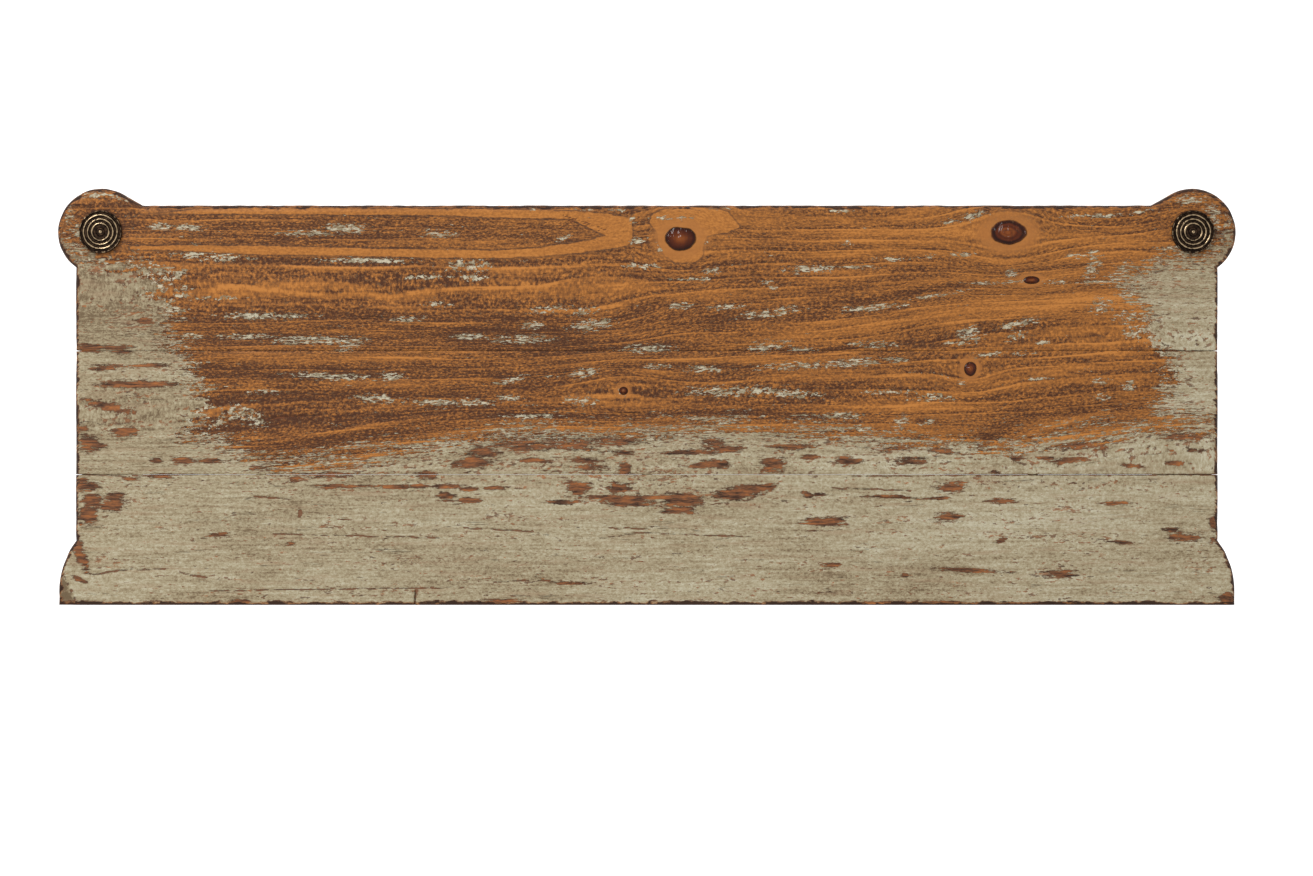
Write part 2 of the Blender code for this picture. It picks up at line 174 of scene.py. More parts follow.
def newGroup(name, inputs, outputs):
    tree = bpy.data.node_groups.new(name, "ShaderNodeTree")
    kinds = {"value": "NodeSocketFloat", "vector": "NodeSocketVector", "colour": "NodeSocketColor"}
    for label, kind, start in inputs:
        socket = tree.interface.new_socket(label, in_out="INPUT", socket_type=kinds[kind])
        if start is not None:
            socket.default_value = start
    for label, kind in outputs:
        tree.interface.new_socket(label, in_out="OUTPUT", socket_type=kinds[kind])
    return tree, tree.nodes.new("NodeGroupInput").outputs, tree.nodes.new("NodeGroupOutput").inputs


def useGroup(tree, group, **values):
    node = tree.nodes.new("ShaderNodeGroup")
    node.node_tree = group
    for label, value in values.items():
        setInput(tree, node.inputs[label.replace("_", " ")], value)
    return node.outputs


def newMaterial(name):
    material = bpy.data.materials.new(name)
    material.use_nodes = True
    return material, material.node_tree, material.node_tree.nodes["Principled BSDF"].inputs


def bumpInto(tree, shader, height, distance):
    node = tree.nodes.new("ShaderNodeBump")
    node.inputs["Distance"].default_value = distance
    setInput(tree, node.inputs["Height"], height)
    tree.links.new(node.outputs[0], shader["Normal"])
    return node.outputs[0]


def makeObject(name, mesh, material):
    mesh.materials.clear()
    mesh.materials.append(material)
    item = bpy.data.objects.new(name, mesh)
    scene.collection.objects.link(item)
    return item


def pointsOf(mesh):
    flat = np.empty(len(mesh.vertices) * 3, np.float32)
    mesh.vertices.foreach_get("co", flat)
    return flat.reshape(-1, 3).astype(np.float64)


def normalsOf(mesh):
    flat = np.empty(len(mesh.vertices) * 3, np.float32)
    mesh.vertex_normals.foreach_get("vector", flat)
    return flat.reshape(-1, 3).astype(np.float64)


def setPoints(mesh, places):
    mesh.vertices.foreach_set("co", places.astype(np.float32).ravel())
    mesh.update()


def setField(mesh, name, values):
    kind = "FLOAT" if values.ndim == 1 else "FLOAT_VECTOR"
    layer = mesh.attributes.new(name, kind, "POINT")
    layer.data.foreach_set("value" if kind == "FLOAT" else "vector", values.astype(np.float32).ravel())


def waves(x, y, lengthX, lengthY, seed, steps=5):
    # smooth wandering values between about -1 and 1
    chance = np.random.default_rng(seed)
    total = np.zeros(np.broadcast(x, y).shape)
    for _ in range(steps):
        turn = chance.uniform(0, math.tau, 2)
        stretch = chance.uniform(0.6, 1.7, 2)
        bend = 1.4 * np.sin(y / lengthY * 3 * stretch[1] + turn[1])
        total += np.sin(x / lengthX * math.tau * stretch[0] + turn[0] + bend)
        total += np.sin(y / lengthY * math.tau * stretch[1] + turn[1])
    return total / steps


def towards(distance, reach):
    # 1 at no distance, fading to 0 at reach
    share = np.clip(1 - np.abs(distance) / reach, 0, 1)
    return share * share * (3 - 2 * share)


def distanceToLines(px, py, starts, ends):
    nearest = np.full(px.shape, 1e9)
    for (ax, ay), (bx, by) in zip(starts, ends):
        dx, dy = bx - ax, by - ay
        along = np.clip(((px - ax) * dx + (py - ay) * dy) / max(dx * dx + dy * dy, 1e-12), 0, 1)
        nearest = np.minimum(nearest, np.hypot(px - ax - along * dx, py - ay - along * dy))
    return nearest


def insideOutline(px, py, outline):
    inside = np.zeros(px.shape, bool)
    for (ax, ay), (bx, by) in zip(outline, outline[1:] + outline[:1]):
        crosses = (ay > py) != (by > py)
        inside ^= crosses & (px < (bx - ax) * (py - ay) / np.where(by == ay, 1e-12, by - ay) + ax)
    return inside


def cutAcross(bm, axis, marks, keep=None):
    # cuts the faces that keep() accepts at each mark along the axis, halving the list each time so that
    # no cut has to look through all the faces
    normal = Vector([1.0 if n == axis else 0.0 for n in range(3)])

    def halve(faces, marks):
        if not faces or not marks:
            return
        place = marks[len(marks) // 2]
        edges = {e for f in faces for e in f.edges}
        corners = {v for f in faces for v in f.verts}
        cut = bmesh.ops.bisect_plane(bm, geom=[*corners, *edges, *faces], plane_co=normal * place,
                                     plane_no=normal, dist=1e-6)
        found = [f for f in cut["geom"] if isinstance(f, bmesh.types.BMFace)]
        side = [f.calc_center_median()[axis] < place for f in found]
        halve([f for f, low in zip(found, side) if low], marks[:len(marks) // 2])
        halve([f for f, low in zip(found, side) if not low], marks[len(marks) // 2 + 1:])

    halve([f for f in bm.faces if keep is None or keep(f)], sorted(marks))


# ---- board: layout of grain, paint and marks, in millimetres; x to the shelf's right, out from the wall

board = {
    "earRadius": 34.0,
    "earX": 423.0,
    "earOut": 289.0,
    "earShoulder": 31.6,
    "sideX": 443.0,
    "front": 310.0,
    "flareRise": 13.0,
    "flareRun": 39.0,
    "flareLength": 50.0,
    "arris": 5.0,
    "underArris": 2.0,
    "seams": (101.0, 197.0),
    "seamGap": 0.15,
    "gridAlong": 2.5,
    "gridAcross": 1.0,
    "sideCuts": (7.5, 10.5, 13.5, 17.0),
    "edgeWander": 0.45,
    "wearReach": 9.0,
    "wallClear": 1.5,
    "underEdge": 1.2,
    "surfaceWander": 0.22,
    "seamEase": 0.35,
    "seamReach": 1.6,
    "brokenCorner": ((451.4, 21.7), (441.3, 0.0)),
    "brokenSlope": 0.45,
    "brokenReach": 6.0,
    "brokenArea": {"x": 400.0, "out": 30.0},
    "nick": {"x": 179.6, "reach": 11.5, "width": 1.0, "depth": 1.2},
    "knotSink": 0.55,
    "bandSink": 0.18,
    "bandFade": 20.0,
    "crackDepth": 0.4,
    "crackBend": 0.5,
    "crackFringe": 0.7,
    "edgeReach": 12.0,
    "edgeStart": 2.25,
    "edgeSteepness": 1.3,
    "bareReach": 30.0,
    "bareDepth": 9.0,
    "bareFade": 4.0,
    "marksDepth": 7.0,
    "marksFade": 4.0,
    "tongueFade": (300.0, 30.0),
    "sideGrime": {"x": 320.0, "out": 70.0, "over": 60.0},
    # darkening of the broken corner's sloping facet: painted shade for its slope
    "cornerGrime": 3.6,
}

# edge of the area where hands and cloths have worn the paint off, open to the front
bareOutline = [
    (-409, 187), (-402, 166), (-395, 152), (-420, 146), (-436, 142), (-400, 134), (-361, 133), (-320, 128),
    (-288, 123), (-262, 117), (-247, 124), (-182, 125), (-157, 129), (-123, 133), (-28, 133), (18, 130),
    (70, 131), (110, 129), (145, 123), (190, 117), (240, 111), (284, 105), (300, 110), (320, 119),
    (334, 125), (357, 131), (341, 144), (345, 160), (353, 170), (355, 183), (367, 199), (375, 211),
    (375, 234), (383, 242), (367, 252), (392, 259), (421, 267), (444, 272), (470, 286), (476, 304),
    (470, 330), (0, 360), (-480, 330), (-466, 312), (-454, 296), (-446, 282), (-434, 270), (-399, 266),
    (-388, 258), (-371, 248), (-379, 238), (-385, 228), (-393, 208),
]

# clean orange patches, out to a crisp edge: round the filled knot, and the tongue with its dirty middle
knotPatch = [
    (-2, 297), (-5, 303), (-14, 307), (-28, 308.6), (-50, 307.3), (-63, 304), (-71.7, 293), (-62.6, 288.8),
    (-46.4, 286), (-44, 280), (-43.4, 270.5), (-37, 265.4), (-22, 265.4), (-14, 270.5), (-8.9, 280.6),
    (-8, 288.7),
]
tongueOutline = [
    (11.3, 299), (11.3, 282), (16, 278), (30.5, 276), (47, 273.5), (79, 270.5), (120, 268.8), (160, 269),
    (219, 270.4), (280, 271.4), (370, 272.6), (404, 272), (404, 304), (350, 308), (160, 307), (120, 306.5),
    (89, 306), (59, 305), (30, 303),
]
tongueMiddle = [
    (31, 286), (47, 282), (89, 276), (120, 274.5), (160, 275), (280, 277.5), (370, 281), (402, 281),
    (402, 300), (300, 303), (160, 302), (120, 300.5), (59, 299),
]

# knots: half length and half height of the eye, and how far the grain bends round it
knots = [
    {"x": -25.8, "out": 283.8, "long": 11.8, "high": 9.0, "pull": 0.75, "reach": (34, 24), "ringed": 0.0},
    {"x": -280.0, "out": 288.6, "long": 13.4, "high": 9.0, "pull": 0.85, "reach": (46, 30), "ringed": 1.0},
    {"x": -298.0, "out": 251.8, "long": 6.0, "high": 3.0, "pull": 0.5, "reach": (18, 9), "ringed": 0.3},
    {"x": -250.6, "out": 183.0, "long": 4.6, "high": 5.4, "pull": 0.6, "reach": (26, 16), "ringed": 0.6},
    {"x": 18.2, "out": 166.0, "long": 3.4, "high": 3.0, "pull": 0.7, "reach": (48, 20), "ringed": 0.0},
]

# smooth steps of the grain: it climbs towards the front on the way to -x
sweeps = [
    {"x": 2, "out": 222, "run": 60, "spread": 26, "rise": 17},
    {"x": 235, "out": 128, "run": 260, "spread": 26, "rise": 30},
    {"x": -215, "out": 225, "run": 190, "spread": 34, "rise": 30},
    {"x": -60, "out": 178, "run": 90, "spread": 20, "rise": 12},
    {"x": -345, "out": 138, "run": 130, "spread": 24, "rise": 22},
    {"x": -390, "out": 300, "run": 60, "spread": 16, "rise": 12},
]

# broad light and dark bands: x, out, half length, half height, slope, darkness
bands = [
    (170, 178, 230, 46, 0, 0.22), (-310, 215, 100, 60, 0, -0.2), (-300, 130, 90, 14, 0, -0.2),
    (290, 152, 90, 22, -0.05, 0.15), (-200, 285, 150, 26, 0, -0.4), (-330, 230, 90, 40, 0, -0.15),
    (300, 145, 110, 36, 0, 0.35), (180, 240, 200, 40, 0, 0.1), (0, 180, 120, 50, 0, 0.12),
    (423, 289, 30, 34, 0, 0.3), (230, 290, 170, 9, 0, 0.5), (378, 284.5, 28, 2.6, 0, -0.5),
    (100, 289, 40, 4, -0.02, 0.2), (260, 267, 125, 3.4, 0, 0.65), (250, 261.6, 130, 1.3, 0.004, -0.55),
    (255, 255.6, 120, 3.4, 0.01, 0.5), (250, 244.5, 120, 4.8, 0, -0.6), (90, 248, 120, 5, 0, -0.45),
    (240, 236, 130, 2.4, 0, 0.15), (245, 231.4, 130, 1.2, 0, -0.45), (255, 224.6, 120, 4.0, 0, 0.65),
    (250, 216, 120, 3.0, 0, -0.3), (250, 205.4, 120, 5.0, 0, 0.6), (255, 191.6, 115, 5.8, 0, -0.6),
    (250, 179.6, 115, 3.6, 0.01, 0.55), (255, 169.8, 105, 3.2, 0, -0.55), (230, 162, 105, 3.6, 0, 0.4),
    (235, 152.5, 100, 4.0, -0.03, -0.15), (250, 143.5, 90, 4.0, -0.1, 0.5),
    (245, 133.7, 105, 1.5, -0.135, -0.85), (230, 129, 80, 3.4, -0.13, 0.5),
    (215, 124.2, 78, 1.7, -0.1, -0.8), (215, 119, 72, 2.8, -0.12, 0.35),
    (215, 114.6, 74, 1.6, -0.124, -0.75), (85, 214, 75, 10, 0, 0.55), (90, 218, 80, 0.9, 0, -0.7),
    (85, 208.4, 80, 0.9, 0.01, -0.6), (-85, 223.5, 60, 5, -0.06, 0.6), (8, 229, 24, 6, -0.4, 0.4),
    (0, 240, 60, 6, -0.05, -0.3), (-60, 208, 70, 6, -0.02, -0.25), (20, 196.6, 60, 3, 0, 0.5),
    (-100, 197, 40, 3.6, 0, 0.45), (-40, 190.5, 90, 3.2, 0.01, -0.6), (60, 177, 60, 3.6, -0.13, 0.5),
    (-60, 184, 50, 2.6, 0, 0.45), (-60, 257, 110, 1.0, 0, -0.6), (-40, 262, 110, 4.4, 0, 0.35),
    (-30, 253, 80, 2.6, 0, 0.45), (-110, 296, 30, 10, 0, -0.1), (-105, 278, 40, 9, 0, 0.1),
    (-185, 292, 38, 11, 0, -0.15), (-20, 147.8, 170, 2.2, 0, 0.75), (40, 137, 60, 4.4, -0.02, -0.6),
    (-80, 137.5, 60, 3.6, 0, -0.7), (-95, 163, 70, 6, -0.02, 0.45), (20, 156, 70, 1.2, 0, -0.3),
    (120, 147, 50, 4, -0.05, 0.3), (-175, 262, 70, 4.0, 0, 0.35), (-190, 251, 70, 3.0, -0.02, -0.3),
    (-200, 240, 70, 3.4, -0.19, 0.6), (-310, 234, 62, 8.5, -0.05, -0.65), (-200, 225, 60, 5, -0.16, -0.45),
    (-205, 208, 60, 5.5, -0.14, 0.45), (-330, 212, 60, 7, 0.0, 0.4), (-240, 196.8, 70, 1.5, 0, -0.7),
    (-180, 200, 50, 3, -0.05, 0.5), (-320, 190, 50, 4, 0, 0.35), (-210, 180, 60, 8, 0, -0.35),
    (-330, 176, 50, 7, 0, -0.3), (-180, 156, 50, 6, 0, -0.45), (-230, 147.6, 90, 1.5, 0, 0.6),
    (-275, 136, 24, 7, -0.5, 0.65), (-330, 150, 50, 4, -0.1, 0.5), (-318, 140, 32, 1.8, -0.27, -0.8),
    (-355, 133, 76, 2.4, -0.135, -0.85), (-330, 137, 40, 3, -0.2, 0.4), (-215, 136, 40, 5, 0.0, -0.3),
    (-370, 281, 60, 7, 0, -0.35), (-370, 296, 45, 5, -0.12, 0.35), (-350, 304, 60, 2, 0.0, 0.2),
    (-420, 309, 20, 4, 0, 0.3), (420, 309, 22, 5, 0, -0.3), (404, 300, 10, 8, 0, 0.3),
    (437, 292, 6, 8, 0, -0.2), (-345, 262, 50, 3, 0, 0.35),
]

# crumbs of old paint left in the grain: x, out, half length, half height, slope
flecks = [
    (376, 293, 12, 3.4, 0), (355, 292.5, 16, 3.4, 0), (234, 291.5, 22, 4.5, 0), (262, 288, 30, 2.5, 0),
    (162, 288, 18, 3.4, 0), (352, 271, 20, 2.4, 0), (328, 269, 26, 3, 0), (222, 267, 46, 2.4, 0),
    (168, 254, 24, 2.2, 0), (138, 263, 24, 5, 0), (163, 233, 14, 2, 0), (294, 224, 46, 3.2, 0),
    (185, 221, 18, 2.4, -0.1), (352, 208, 12, 2.6, 0), (258, 205, 48, 3.6, 0), (228, 202, 14, 5, -0.3),
    (310, 208, 30, 2, 0), (240, 177, 46, 3, 0.05), (198, 177, 12, 4, 0), (293, 165, 20, 2, 0),
    (135, 253.5, 14, 2, 0), (318, 149, 16, 7, 0), (302, 143, 10, 5, 0), (210, 160, 24, 3.4, 0.05),
    (160, 157, 34, 2.4, 0), (13, 263, 10, 2.4, 0), (-2, 262, 12, 2, 0), (-50, 259, 8, 3.4, 0),
    (-43, 252, 10, 2.6, 0), (-29, 252, 13, 1.8, 0), (-128, 260, 28, 3.4, 0), (-92, 250, 5, 2, 0),
    (-97, 246, 4, 2, 0), (75, 229, 20, 3, -0.1), (46, 228, 14, 3.4, -0.2), (88, 217, 10, 3.4, 0),
    (43, 217, 20, 5, -0.1), (98, 206, 28, 4, 0), (138, 208, 18, 2.4, 0), (-27, 232, 14, 3, 0),
    (-95, 226, 30, 3.6, -0.14), (-60, 231, 20, 2, -0.1), (1, 198.5, 24, 4, 0), (-94, 201, 21, 5, -0.1),
    (-120, 198, 14, 2, 0), (-46, 183, 20, 3, 0), (-119, 186, 40, 4, -0.04), (48, 180, 15, 4, -0.15),
    (-8, 185, 14, 1.8, 0), (105, 174, 20, 2.6, -0.2), (18, 164, 4.5, 3.6, 0.4), (-66, 166, 46, 5, 0),
    (-112, 164, 30, 4, 0.1), (104, 160, 14, 3.4, 0), (52, 158, 16, 5, 0.05), (134, 157, 20, 3, 0),
    (94, 146, 26, 2, 0), (-150, 146.5, 18, 3.4, 0), (-60, 142, 12, 3, 0), (-254, 301, 14, 4.4, -0.2),
    (-236, 297, 8, 2.4, -0.2), (-350, 301.5, 38, 1.5, -0.02), (-380, 304, 14, 1.4, -0.2),
    (-155, 280, 6, 3, 0), (-190, 268, 20, 1.4, 0), (-241, 271.5, 15, 1.8, 0), (-218, 270, 10, 2, -0.2),
    (-165, 262, 20, 1.6, 0), (-346, 271, 8, 5, 0), (-335, 270, 14, 2.4, 0), (-283, 257, 6, 3.4, 0),
    (-285, 251, 10, 2, 0), (-262, 249.5, 16, 1.4, 0), (-318, 250, 14, 1.6, 0), (-345, 250, 20, 1.6, 0),
    (-346, 261, 9, 8, -0.8), (-368, 258, 10, 9, -0.8), (-176, 230.5, 34, 2.6, -0.08),
    (-225, 240, 30, 1.2, -0.15), (-250, 209, 13, 7.5, 0), (-240, 203, 14, 2, 0), (-288, 218, 20, 2.8, -0.2),
    (-288, 209, 8, 4.4, -0.2), (-306, 203, 10, 1.8, -0.2), (-178, 202, 22, 3, 0), (-280, 195, 24, 1.8, 0),
    (-258, 193, 8, 1.8, 0), (-160, 188, 30, 3.6, -0.05), (-194, 190, 12, 2, 0), (-243, 172, 6, 1.8, 0),
    (-220, 161, 20, 4, 0), (-352, 173, 8, 3.4, 0), (-374, 170, 7, 4, 0), (-352, 161, 9, 3, 0),
    (-303, 175, 12, 1.4, 0), (-185, 165, 30, 2, 0), (-156, 146, 14, 3.4, 0), (-197, 141, 8, 6, -0.4),
    (-218, 141, 9, 3.4, -0.3), (-168, 136, 8, 5, 0), (-352, 232, 12, 8, 0), (-378, 212, 14, 7, 0),
    (-372, 222, 12, 9, 0), (-385, 250, 14, 4, 0), (-372, 240, 12, 3, 0), (430, 318, 16, 3.4, 0),
    (447, 300, 4, 10, 0), (-440, 296, 6, 14, 0), (-420, 314, 16, 4, 0), (-438, 306, 8, 5, 0.4),
    (408, 316, 14, 2.4, 0.2), (440, 290, 5, 8, 0), (89, 306.6, 8, 1, 0), (47, 306.6, 12, 1.2, 0),
    (20, 306, 10, 1.2, 0), (-14, 300, 9, 2, 0), (-30, 300, 8, 2.2, 0), (11, 298, 3, 3, 0),
    (8, 282, 9, 3, -0.1), (64, 284.6, 6, 2.2, -0.3), (-10, 275, 3, 4, 0.5), (-46, 281, 2, 3, 0),
    (360, 240, 12, 2, 0), (365, 256, 10, 5, -0.3), (386, 262, 14, 3, 0), (366, 228, 14, 2.4, 0),
    (330, 238, 20, 1.8, 0), (-152, 305, 16, 1.2, 0), (-62, 307, 14, 1, 0),
]

# chips that show wood through the paint: x, out, half length, half height, slope
chips = [
    (418, 154, 20, 4.2, 0.2), (393, 171, 29, 2.6, 0), (419, 184.5, 13, 1.7, 0),
    (388, 185.5, 15, 1.4, -0.05), (405, 195.5, 8, 2, 0), (430, 199, 9, 3, 0), (410, 200, 14, 1.6, 0),
    (388, 220, 8, 1.8, 0), (432, 126, 7, 7, 0), (438, 137, 5, 3, 0), (424, 123, 8, 1.4, 0),
    (405, 134, 10, 4, 0), (380, 112, 5, 2, 0), (359, 112, 8, 2.2, 0.1), (337, 112, 7, 2, 0),
    (433, 92, 8, 3.4, 0), (430, 81, 7, 5, 0), (432, 68, 7, 7, 0), (414, 76, 8, 3, 0), (411, 84, 8, 3, 0),
    (377, 100, 9, 1.6, 0), (400, 97.5, 6, 0.9, 0), (438, 97, 4, 2, 0), (234, 92, 26, 1.1, 0),
    (195, 91.6, 9, 1.1, 0), (176, 92, 5.5, 0.9, 0), (153, 91.5, 10, 1.2, 0), (333, 54, 9.5, 1.5, -0.06),
    (276, 47, 3, 1, 0), (441, 45, 3.6, 7, 0.8), (437, 34, 4, 6, 0.5), (315, 3, 7, 1.3, 0),
    (272, 98, 5, 2, 0), (250, 101, 20, 1.6, 0), (171, 101, 8, 3, 0), (300, 106, 9, 1.5, 0),
    (155, 84, 6, 3.4, 0), (137, 110, 16, 3.6, 0), (127, 120, 14, 5, 0), (136, 113, 10, 2, 0),
    (138, 90, 8, 2.4, 0), (118, 91, 10, 1.2, 0), (138, 81, 7, 1.6, 0), (63, 79.4, 12, 1.5, 0),
    (10, 83.4, 52, 1.0, 0), (53, 92, 9, 2.6, 0), (53, 88, 3.4, 3, 0), (20, 91, 8, 3.6, 0),
    (16, 80, 19, 2.6, 0), (-28, 80, 15, 4.4, 0), (-26, 73.6, 11, 2.6, 0), (-30, 84.6, 12, 1.2, 0),
    (-72, 87, 20, 4.2, -0.16), (-88, 91, 10, 2.6, 0), (-48, 109, 12, 2.6, 0), (-97, 108, 8, 4.4, 0),
    (-67, 121, 14, 1.6, -0.04), (-111, 123, 17, 1.5, 0), (-127, 115, 5, 1.4, 0), (-153, 112.6, 5, 3.2, 0),
    (-125, 84.8, 4, 2.2, 0), (-134, 85.6, 5, 1, 0), (17, 106, 4, 4.4, 0), (17, 118, 7, 1.6, 0),
    (-135, 64, 15, 3.4, 0), (60, 17, 12, 0.9, 0), (-144, 31, 5, 0.9, 0), (113, 3, 14, 1.4, 0),
    (95, 124, 26, 4.4, 0), (60, 125, 22, 4.4, 0), (25, 127, 22, 4, 0), (-52, 125, 8, 4, 0),
    (48, 112, 12, 1.6, 0), (46, 107, 12, 1.4, 0), (88, 112, 14, 1.2, 0), (-30, 118, 22, 1.2, 0),
    (-204, 111.6, 13, 3.0, -0.08), (-157, 110.6, 8, 2.8, 0), (-197, 122, 16, 1.8, -0.15),
    (-228, 119.6, 11, 1.8, 0.1), (-264, 125, 12, 3.6, -0.3), (-234, 91.4, 11.5, 3.8, -0.06),
    (-235, 68, 12, 3.6, 0), (-411, 130, 19, 3.0, 0), (-424, 120, 8, 1.6, 0), (-406, 119.6, 6, 1.2, 0),
    (-411, 110, 11, 1.4, 0), (-363, 79, 13, 1.7, 0), (-419, 52.6, 15, 3.8, 0), (-407, 58.6, 8, 1.6, 0),
    (-439, 64, 3.4, 5, 0), (-439, 51, 3, 3, 0), (-450, 5, 5, 5, 0), (-252, 26.6, 26, 1.0, 0.04),
    (-200, 23, 2.6, 1.2, 0), (-320, 24, 11, 2.6, 0), (-366, 49, 12, 0.9, 0.06), (-186, 84, 19, 1.1, 0),
    (-226, 83, 9, 1, 0), (-269, 103, 4, 1.2, 0), (-286, 112.6, 5, 2.4, 0), (-310, 113.6, 8, 1.6, 0),
    (-320, 111, 9, 2, 0), (-335, 123, 20, 2.4, 0), (-373, 108, 8, 1.3, 0.1), (-275, 50, 3, 2, -0.5),
    (-275, 81, 14, 1, 0), (-205, 1, 60, 1.3, 0), (-290, 1, 60, 1.0, 0), (440, 20, 5, 1.4, 0.4),
    (-330, 113, 12, 1.4, 0),
]

# places where the paint is rubbed thin: x, out, half length, half height, slope, amount
thins = [
    (405, 140, 30, 9, 0, 0.9), (415, 80, 18, 10, 0, 0.9), (350, 110, 30, 5, 0, 0.6),
    (215, 61, 65, 2.6, 0, 0.8), (270, 52, 70, 1.8, 0, 0.7), (195, 34, 30, 4.4, 0, 0.9),
    (410, 33, 26, 6, 0.1, 0.8), (405, 110, 34, 14, 0, 0.35), (320, 8, 70, 2.6, 0, 0.5),
    (210, 10, 60, 5, 0, 0.7), (110, 68, 20, 6, 0, 0.9), (130, 54, 40, 2, 0, 0.6), (60, 66, 26, 2, 0, 0.7),
    (60, 18, 110, 3.4, 0, 0.8), (-60, 20, 26, 5, 0, 0.7), (-130, 30, 14, 8, 0, 0.7),
    (-20, 84, 90, 8, 0, 0.85), (70, 108, 100, 14, 0, 0.8), (-60, 108, 90, 12, 0, 0.45),
    (-190, 62, 16, 6.5, 0, 0.95), (-225, 62, 6, 6, 0, 0.8), (-320, 52, 60, 6, 0, 0.75),
    (-290, 66, 60, 3, 0, 0.6), (-325, 75, 20, 6, 0, 0.8), (-314, 24, 22, 7, 0, 0.95),
    (-345, 118, 60, 6, 0, 0.7), (-425, 32, 14, 12, 0, 0.7), (-330, 39, 40, 4, 0, 0.6),
    (-190, 100, 60, 4, 0, 0.4), (-310, 109, 60, 8, 0, 0.4), (-90, 10, 120, 3, 0, 0.5),
    (-260, 10, 120, 4, 0, 0.35), (330, 68, 50, 3, 0, 0.35), (380, 60, 30, 3, 0, 0.4),
    (15, 38, 90, 4, 0, 0.3), (-415, 250, 16, 10, 0, 0.6), (395, 225, 34, 20, 0, 0.75),
    (-425, 215, 14, 26, 0, 0.7), (425, 262, 16, 12, 0, 0.9), (-412, 175, 22, 16, 0, 0.6),
    (30, 104, 130, 18, 0, 0.8), (400, 165, 36, 22, 0, 0.7), (-330, 92, 90, 8, 0, 0.5),
    (400, 90, 40, 12, 0, 0.6),
]

# open cracks and scratches: from x, out to x, out, and the width
cracks = [
    ((-391, 197.4), (-443, 196.4), 0.6), ((-235, 100.6), (-444, 101), 0.6),
    ((442, 101.3), (400, 99.6), 0.5), ((400, 100), (335, 101.4), 0.35), ((431, 23), (404, 27.4), 0.7),
    ((404, 27.4), (373, 27.6), 0.6), ((363, 25), (340, 21), 0.5), ((38, 51), (6, 56), 0.5),
    ((6, 56), (-75, 53), 0.35), ((120, 17.4), (86, 19.6), 0.5), ((86, 19.6), (50, 16), 0.5),
    ((268, 76), (269, 68), 0.7), ((304, 84), (276, 82), 0.4), ((340, 11), (140, 13.6), 0.35),
    ((142, 59.6), (88, 57), 0.4), ((451, 21.7), (441.3, 0.5), 0.5), ((180, 0), (179, 11.4), 0.7),
    ((290, 55), (160, 52), 0.35), ((30, 59.6), (-2, 59), 0.35), ((-157, 99.6), (-235, 100.6), 0.3),
    ((-142, 90.6), (-205, 88.6), 0.4), ((-166, 84), (-230, 82), 0.5), ((300, 144), (255, 147), 0.5),
    ((65, 302), (32, 291), 0.35), ((60, 298), (36, 289), 0.3),
]


def planeArc(centreX, centreOut, radius, start, end, steps):
    # points of an arc in the board's plane, angles in degrees
    found = []
    for n in range(steps + 1):
        angle = math.radians(start + (end - start) * n / steps)
        found.append((centreX + radius * math.cos(angle), centreOut + radius * math.sin(angle)))
    return found


def mirrored(half):
    return half + [(-x, out) for x, out in reversed(half)]


def boardHalves():
    # +x side of the board's outline: the flared end, and the round corner
    b = board
    radius = (b["flareRun"] ** 2 + b["flareRise"] ** 2) / (2 * b["flareRise"])
    turn = math.degrees(math.asin(b["flareRun"] / radius))
    middle = (b["sideX"] + b["flareRise"] - radius, b["flareLength"] - b["flareRun"])
    flare = planeArc(*middle, radius, turn, 0, 14)
    side = -math.degrees(math.acos((b["sideX"] - b["earX"]) / b["earRadius"]))
    drop = b["front"] - b["earOut"]
    tangent = math.acos(b["earRadius"] / math.hypot(b["earShoulder"], drop))
    front = math.degrees(math.atan2(drop, -b["earShoulder"]) - tangent)
    ear = planeArc(b["earX"], b["earOut"], b["earRadius"], side, front, 52)
    ear.append((b["earX"] - b["earShoulder"], b["front"]))
    return flare + [(b["sideX"] + b["flareRise"], 0)], ear


def plankOutlines():
    b = board
    low, high = b["seams"]
    gap = b["seamGap"]
    flare, ear = boardHalves()
    rear = [(b["sideX"], low - gap)] + flare
    middle = [(b["sideX"], high - gap), (b["sideX"], low + gap)]
    front = [(b["sideX"], high + gap)] + ear
    return {"plank_rear": mirrored(rear), "plank_middle": mirrored(middle), "plank_front": mirrored(front)}


def gridMarks(low, high, step):
    count = max(1, round((high - low) / step))
    return [low + (high - low) * n / count for n in range(1, count)]


